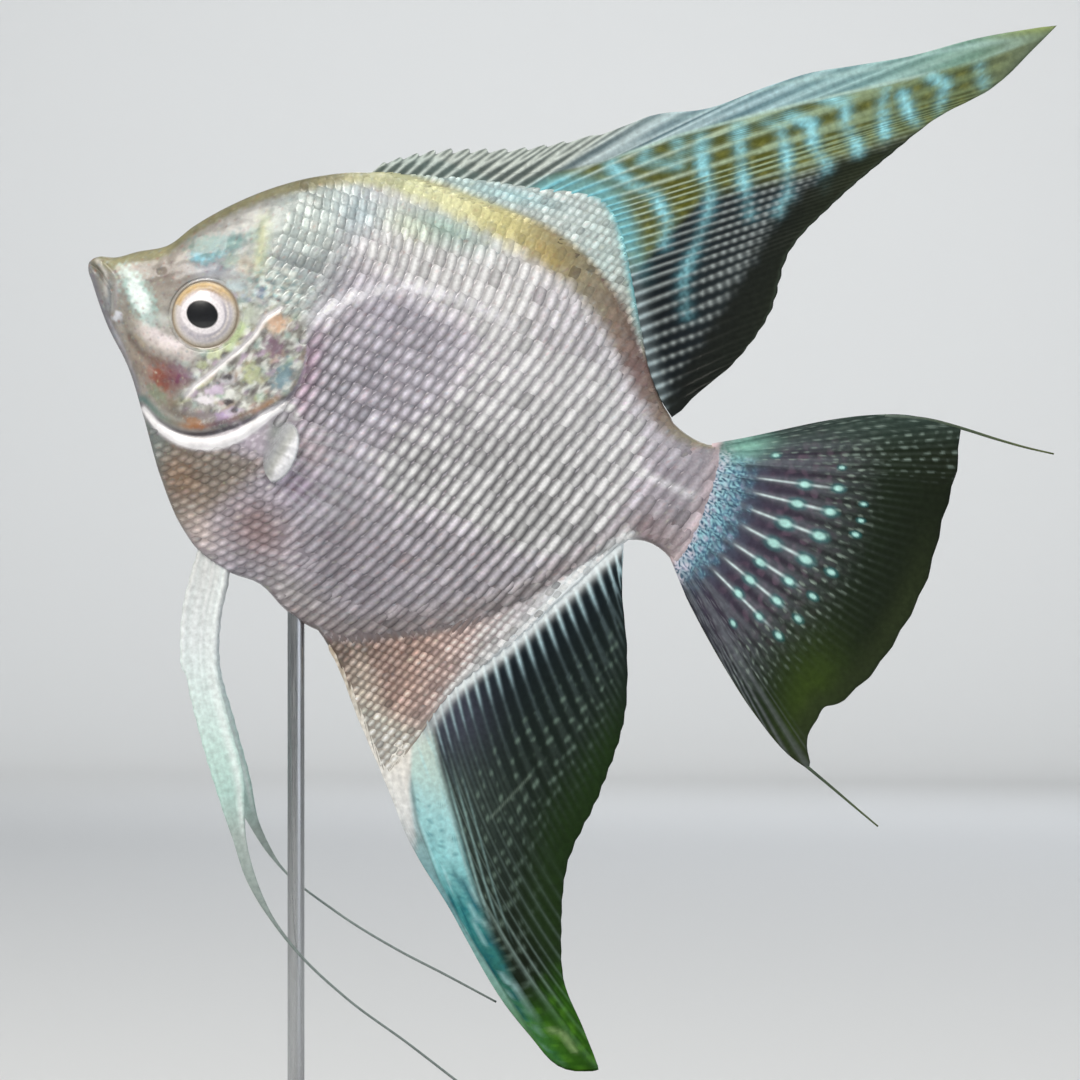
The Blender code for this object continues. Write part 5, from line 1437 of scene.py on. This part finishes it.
def add_pectoral_fin(word, side, material):
    """A clear rounded fan with faint rays, on a white rounded lobe where it leaves the flank."""
    margin, base = smooth(PECTORAL, 0.6), smooth(PECTORAL_ROOT, 0.4)
    ray = np.linspace(0, 12, 12 * 9 + 1)
    end, start = (np.stack([np.interp(ray / 12, np.linspace(0, 1, len(line)), column) for column in line.T])
                  for line in (margin, base))
    v = np.linspace(0, 1, 110)[:, None] ** 1.3
    along = start[0] + (end[0] - start[0]) * v * 0.985
    up = start[1] + (end[1] - start[1]) * v * 0.985
    ray, v = np.broadcast_to(ray, along.shape), np.broadcast_to(v, along.shape)
    out = near(base, along, up)[0]
    ridge = ridges(ray, v, 0.14, (0.4, 0.9))
    # The lobe is an oval dome, darker and greener towards its upper front, white along its rear edge.
    x, z = (along - 34.6) / 2.45, (up + 15.2) / 4.4
    oval = np.hypot(x, z)
    lobe = ease(1.06, 0.88, oval) * ease(-0.95, 0.35, x - 0.25 * z)
    half = 0.09 + 0.05 * ridge * ease(1, 4, out)
    half = half + 0.34 * np.sqrt(np.clip(1 - oval ** 2, 0, 1)) * ease(-1, 0.4, x)
    edge = np.minimum(ray, 12 - ray) / 0.6
    half = np.pad((half * quarter(edge) * quarter((1 - v) * 30))[1:-1, 1:-1], 1)
    inner = half_thickness(along, up) + 0.1 + 0.25 * np.clip(out / 2, 0, 1) + 0.22 * out
    white = ease(-0.08, 0.55, x - 0.35 * z + 0.12 * ripple(along, up, 2, 5))
    tone = marks(even("a7a8a8", along), along, up, [
        ("b5abb6", ease(-0.2, -0.9, x - 0.35 * z)), ("f6f6fa", white),
        ("c9cbc4", bell(x - 0.35 * z - 0.1, 0.25) * 0.5), ("cdd2d6", 1 - lobe)])
    rays = ridge * ease(1, 0.5, v) * ease(1.5, 4, out)
    veil = np.clip(0.02 + 0.1 * rays + 0.05 * bell(v - 1, 0.02) + lobe, 0, 1)
    add_sheet("pectoral_fin_fan_" + word, "pectoral_fin", ("pectoral_fin_" + word,),
              (along, side * (inner + half), up), half, material, {"tone": tone, "veil": veil})


# Eyes -----------------------------------------------------------------

def iris_tone(a, h):
    """Black pupil, pinkish white ring, gold arc above and in front, grey arcs behind, tan outer ring."""
    x, z = a - EYE[0], h - EYE[1]
    r = np.hypot(x, z)
    turn = np.degrees(np.arctan2(z, x))
    tone = graded("e6dee0 e3dce0 dfd8da dad3d1 cfc4b6 ad9d88 958a7c a0988f",
                  [0, 2.9, 3.5, 3.95, 4.3, 4.55, 4.75, 5], r)
    gold = ease(95, 45, np.abs(turn - 122))
    streak = 0.8 + 0.2 * ripple(3 * np.radians(turn), r, 0.8, 3)
    right = ease(75, 40, np.abs(turn + 5))
    below = ease(60, 30, np.abs(turn + 95))
    ring = np.hypot((a - PUPIL[0]) / PUPIL_HALF[0], (h - PUPIL[1]) / PUPIL_HALF[1])
    return marks(tone, a, h, [
        ("c39a55", gold * bell(r - 3.95, 0.5) * 0.9 * streak), ("dcc08c", gold * bell(r - 4.32, 0.2) * 0.8),
        ("ded0a8", gold * bell(r - 3.78, 0.1) * 0.5),
        ("a07c4c", gold * bell(r - 3.46, 0.2) * bell((turn - 95) / 40, 1) * 0.7),
        ("a9a2ae", right * (bell(r - 3.15, 0.2) * 0.8 + bell(r - 3.75, 0.22) * 0.5)),
        ("efe6dc", right * bell(r - 3.45, 0.14) * 0.7),
        ("a9a6b2", below * bell(r - 3.3, 0.55) * (0.5 + 0.3 * ripple(a, h, 1, 4))),
        ("c9bfc4", ease(0.2, 0.7, ripple(4 * np.radians(turn), r, 0.7, 6)) * bell(r - 3.2, 0.5) * 0.5),
        ("f7f1f4", ease(1.46, 1.32, ring)), ("15161a", ease(1.06, 0.97, ring))])


def add_eye(word, side, material):
    """An eyeball set in the rim of its socket: a flattened ball within, and a soft ring of skin round it.

    Rings of points run out from the pupil's middle. Inside the seen radius they lie on the ball, and
    outside it they follow the head's own surface, rise in a low lip and dive under the skin.
    """
    r = np.concatenate([np.linspace(0, 4.5, 40), np.linspace(4.55, 5.9, 20), [5.9, 3, 0]])
    x, z = r[:, None] * np.cos(around(EYE_SIDES)), r[:, None] * np.sin(around(EYE_SIDES))
    ball = EYE_DEPTH * np.sqrt(1 - np.clip(r / EYE_RADIUS, 0, 1) ** 2)[:, None] + 0 * x
    centre = bare_half(np.array([EYE[0]]), np.array([EYE[1]]))[0] + EYE_STANDS_OUT - EYE_DEPTH
    along = EYE[0] + x * math.cos(EYE_FORWARD) + (EYE_DEPTH - EYE_STANDS_OUT - ball) * math.sin(EYE_FORWARD)
    up = EYE[1] + z
    on_ball = centre + ball * math.cos(EYE_FORWARD) + x * math.sin(EYE_FORWARD)
    face = bare_half(along, up) - 0.05
    lip = 0.1 * bell(r - 4.95, 0.3) - 0.06 * bell(r - 4.6, 0.12) - 0.5 * ease(5.1, 6.1, r) + 0.04
    aside = np.where(r[:, None] < 4.58, on_ball, face + lip[:, None])
    aside[-2:] = centre - 0.5
    along[-3:] = EYE[0] + x[-3:]
    socket = head_tone(even("a9a5a2", along), EYE[0] + x, EYE[1] + z)
    tone = lay(iris_tone(EYE[0] + x, EYE[1] + z), socket, ease(4.66, 5.05, r)[:, None] + 0 * x)
    points = in_world(along, side * aside, up)
    faces = ring_faces(points)[:, ::side]
    add_piece("eyeball_" + word, "eye", ("eye_" + word,), points, faces, material,
              {"tone": tone.reshape(-1, 3)})


# Stand ----------------------------------------------------------------

def rounded(corners, radius, count=5):
    """A profile with each of its inner corners rounded by a short curve."""
    corners = np.array(corners)
    out = [corners[0]]
    for before, corner, after in zip(corners[:-2], corners[1:-1], corners[2:]):
        cut = [min(radius, 0.45 * np.linalg.norm(other - corner)) for other in (before, after)]
        start = corner + (before - corner) * cut[0] / np.linalg.norm(before - corner)
        stop = corner + (after - corner) * cut[1] / np.linalg.norm(after - corner)
        t = np.linspace(0, 1, count)[:, None]
        out += list((1 - t) ** 2 * start + 2 * t * (1 - t) * corner + t ** 2 * stop)
    return out + [corners[-1]]


def add_stand(wood, steel):
    """A turned round base with a stepped moulding, and the rod that stands in it."""
    low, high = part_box("stand_base")
    r, h = (high.x - low.x) / 2, high.z
    centre = ((low.x + high.x) / 2, (low.y + high.y) / 2)
    edge = [(0, 0), (r - 0.0008, 0), (r, 0.0008), (r, 0.38 * h), (r - 0.001, 0.5 * h),
            (r - 0.0032, 0.58 * h), (r - 0.0046, 0.74 * h), (r - 0.0052, 0.9 * h), (r - 0.0064, h), (0, h)]
    base = revolved(rounded(edge, 0.0009), centre, 192)
    add_piece("stand_base_turned", "walnut", ("stand_base",), base, ring_faces(base), wood)
    low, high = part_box("stand_rod")
    r = (high.x - low.x) / 2
    bar = [(0, low.z), (r, low.z), (r, high.z), (0, high.z)]
    rod = revolved(rounded(bar, 0.0003), ((low.x + high.x) / 2, 0), 40)
    add_piece("stand_rod_drawn", "steel", ("stand_rod",), rod, ring_faces(rod), steel)


# Stage ----------------------------------------------------------------

# The floor's radius, the height of its rounded rise, and the top of the backdrop, in metres.
FLOOR, RISE, BACKDROP_TOP = 1.8, 1, 3.2


def add_stage():
    """A plain pale floor that rises all round into a plain backdrop, as one dish of revolution."""
    paper = new_material("matt pale paper", Base_Color=rgba("d9dbdc"), Roughness=0.9)[0]
    bend = np.linspace(0, np.pi / 2, 16)
    rise = zip(FLOOR + RISE * np.sin(bend), RISE - RISE * np.cos(bend))
    sweep = [(0, 0), *rise, (FLOOR + RISE, BACKDROP_TOP)]
    dish = revolved(sweep, (0, 0), 96)
    make_object("backdrop", dish, ring_faces(dish, lid=False), paper)


def add_light(name, place, target, size, watts, code):
    """A square soft box that faces a target."""
    light = bpy.data.lights.new(name, "AREA")
    light.energy, light.size, light.color = watts, size, tuple(linear(code))
    lamp = bpy.data.objects.new(name, light)
    lamp.location = place
    lamp.rotation_euler = (Vector(target) - Vector(place)).to_track_quat("-Z", "Y").to_euler()
    bpy.context.collection.objects.link(lamp)
    return light


def add_lights(centre):
    """Plain soft studio light: a key above the face, a wide fill, a light behind, and a pale world."""
    add_light("key", (-0.45, -0.7, 1), centre, 0.5, 13.5, "fffaf2")
    add_light("fill", (0.9, -0.9, 0.35), centre, 0.9, 3, "eef4ff")
    add_light("top", (0.15, 0.15, 1.1), centre, 0.5, 2.8, "ffffff")
    add_light("back", (0.3, 1.1, 0.6), centre, 0.8, 3, "f4f8ff")
    wash = add_light("wash", (0.06, 1, 1.3), (0.06, 2.6, 0.35), 0.7, 9, "ffffff")
    wash.spread = math.radians(110)
    world = bpy.data.worlds.new("studio")
    world.use_nodes = True
    sky = world.node_tree.nodes["Background"]
    sky.inputs["Color"].default_value = rgba("e8ecef")
    sky.inputs["Strength"].default_value = 0.2
    bpy.context.scene.world = world


def add_camera():
    """A level camera square on to the left side, three quarters of a metre away, on a long lens."""
    camera = bpy.data.cameras.new("camera")
    camera.lens, camera.sensor_width = 180, 36
    camera.clip_start, camera.clip_end = 0.01, 20
    eye = bpy.data.objects.new("camera", camera)
    eye.location = (SNOUT_X + 0.0632, -0.762, SNOUT_Z - 0.0389)
    eye.rotation_euler = (math.radians(90), 0, 0)
    bpy.context.collection.objects.link(eye)
    bpy.context.scene.camera = eye
    return eye


def main():
    bpy.context.scene.view_settings.view_transform = "Standard"  # colours come out as their codes say
    camera = add_camera()
    add_stage()
    add_lights((camera.location.x, 0, camera.location.z))
    membrane, clear, cornea = fin_membrane("wet fin membrane"), clear_membrane(), clear_eye()
    add_skin(wet_skin())
    add_all_scales(pearl_scale())
    add_fins(membrane)
    for word, side, line in (("left", -1, PELVIC_LEFT), ("right", 1, PELVIC_RIGHT)):
        add_eye(word, side, cornea)
        add_pelvic_fin(word, line, side, membrane)
        add_pectoral_fin(word, side, clear)
    add_stand(turned_walnut(), satin_steel())


main()
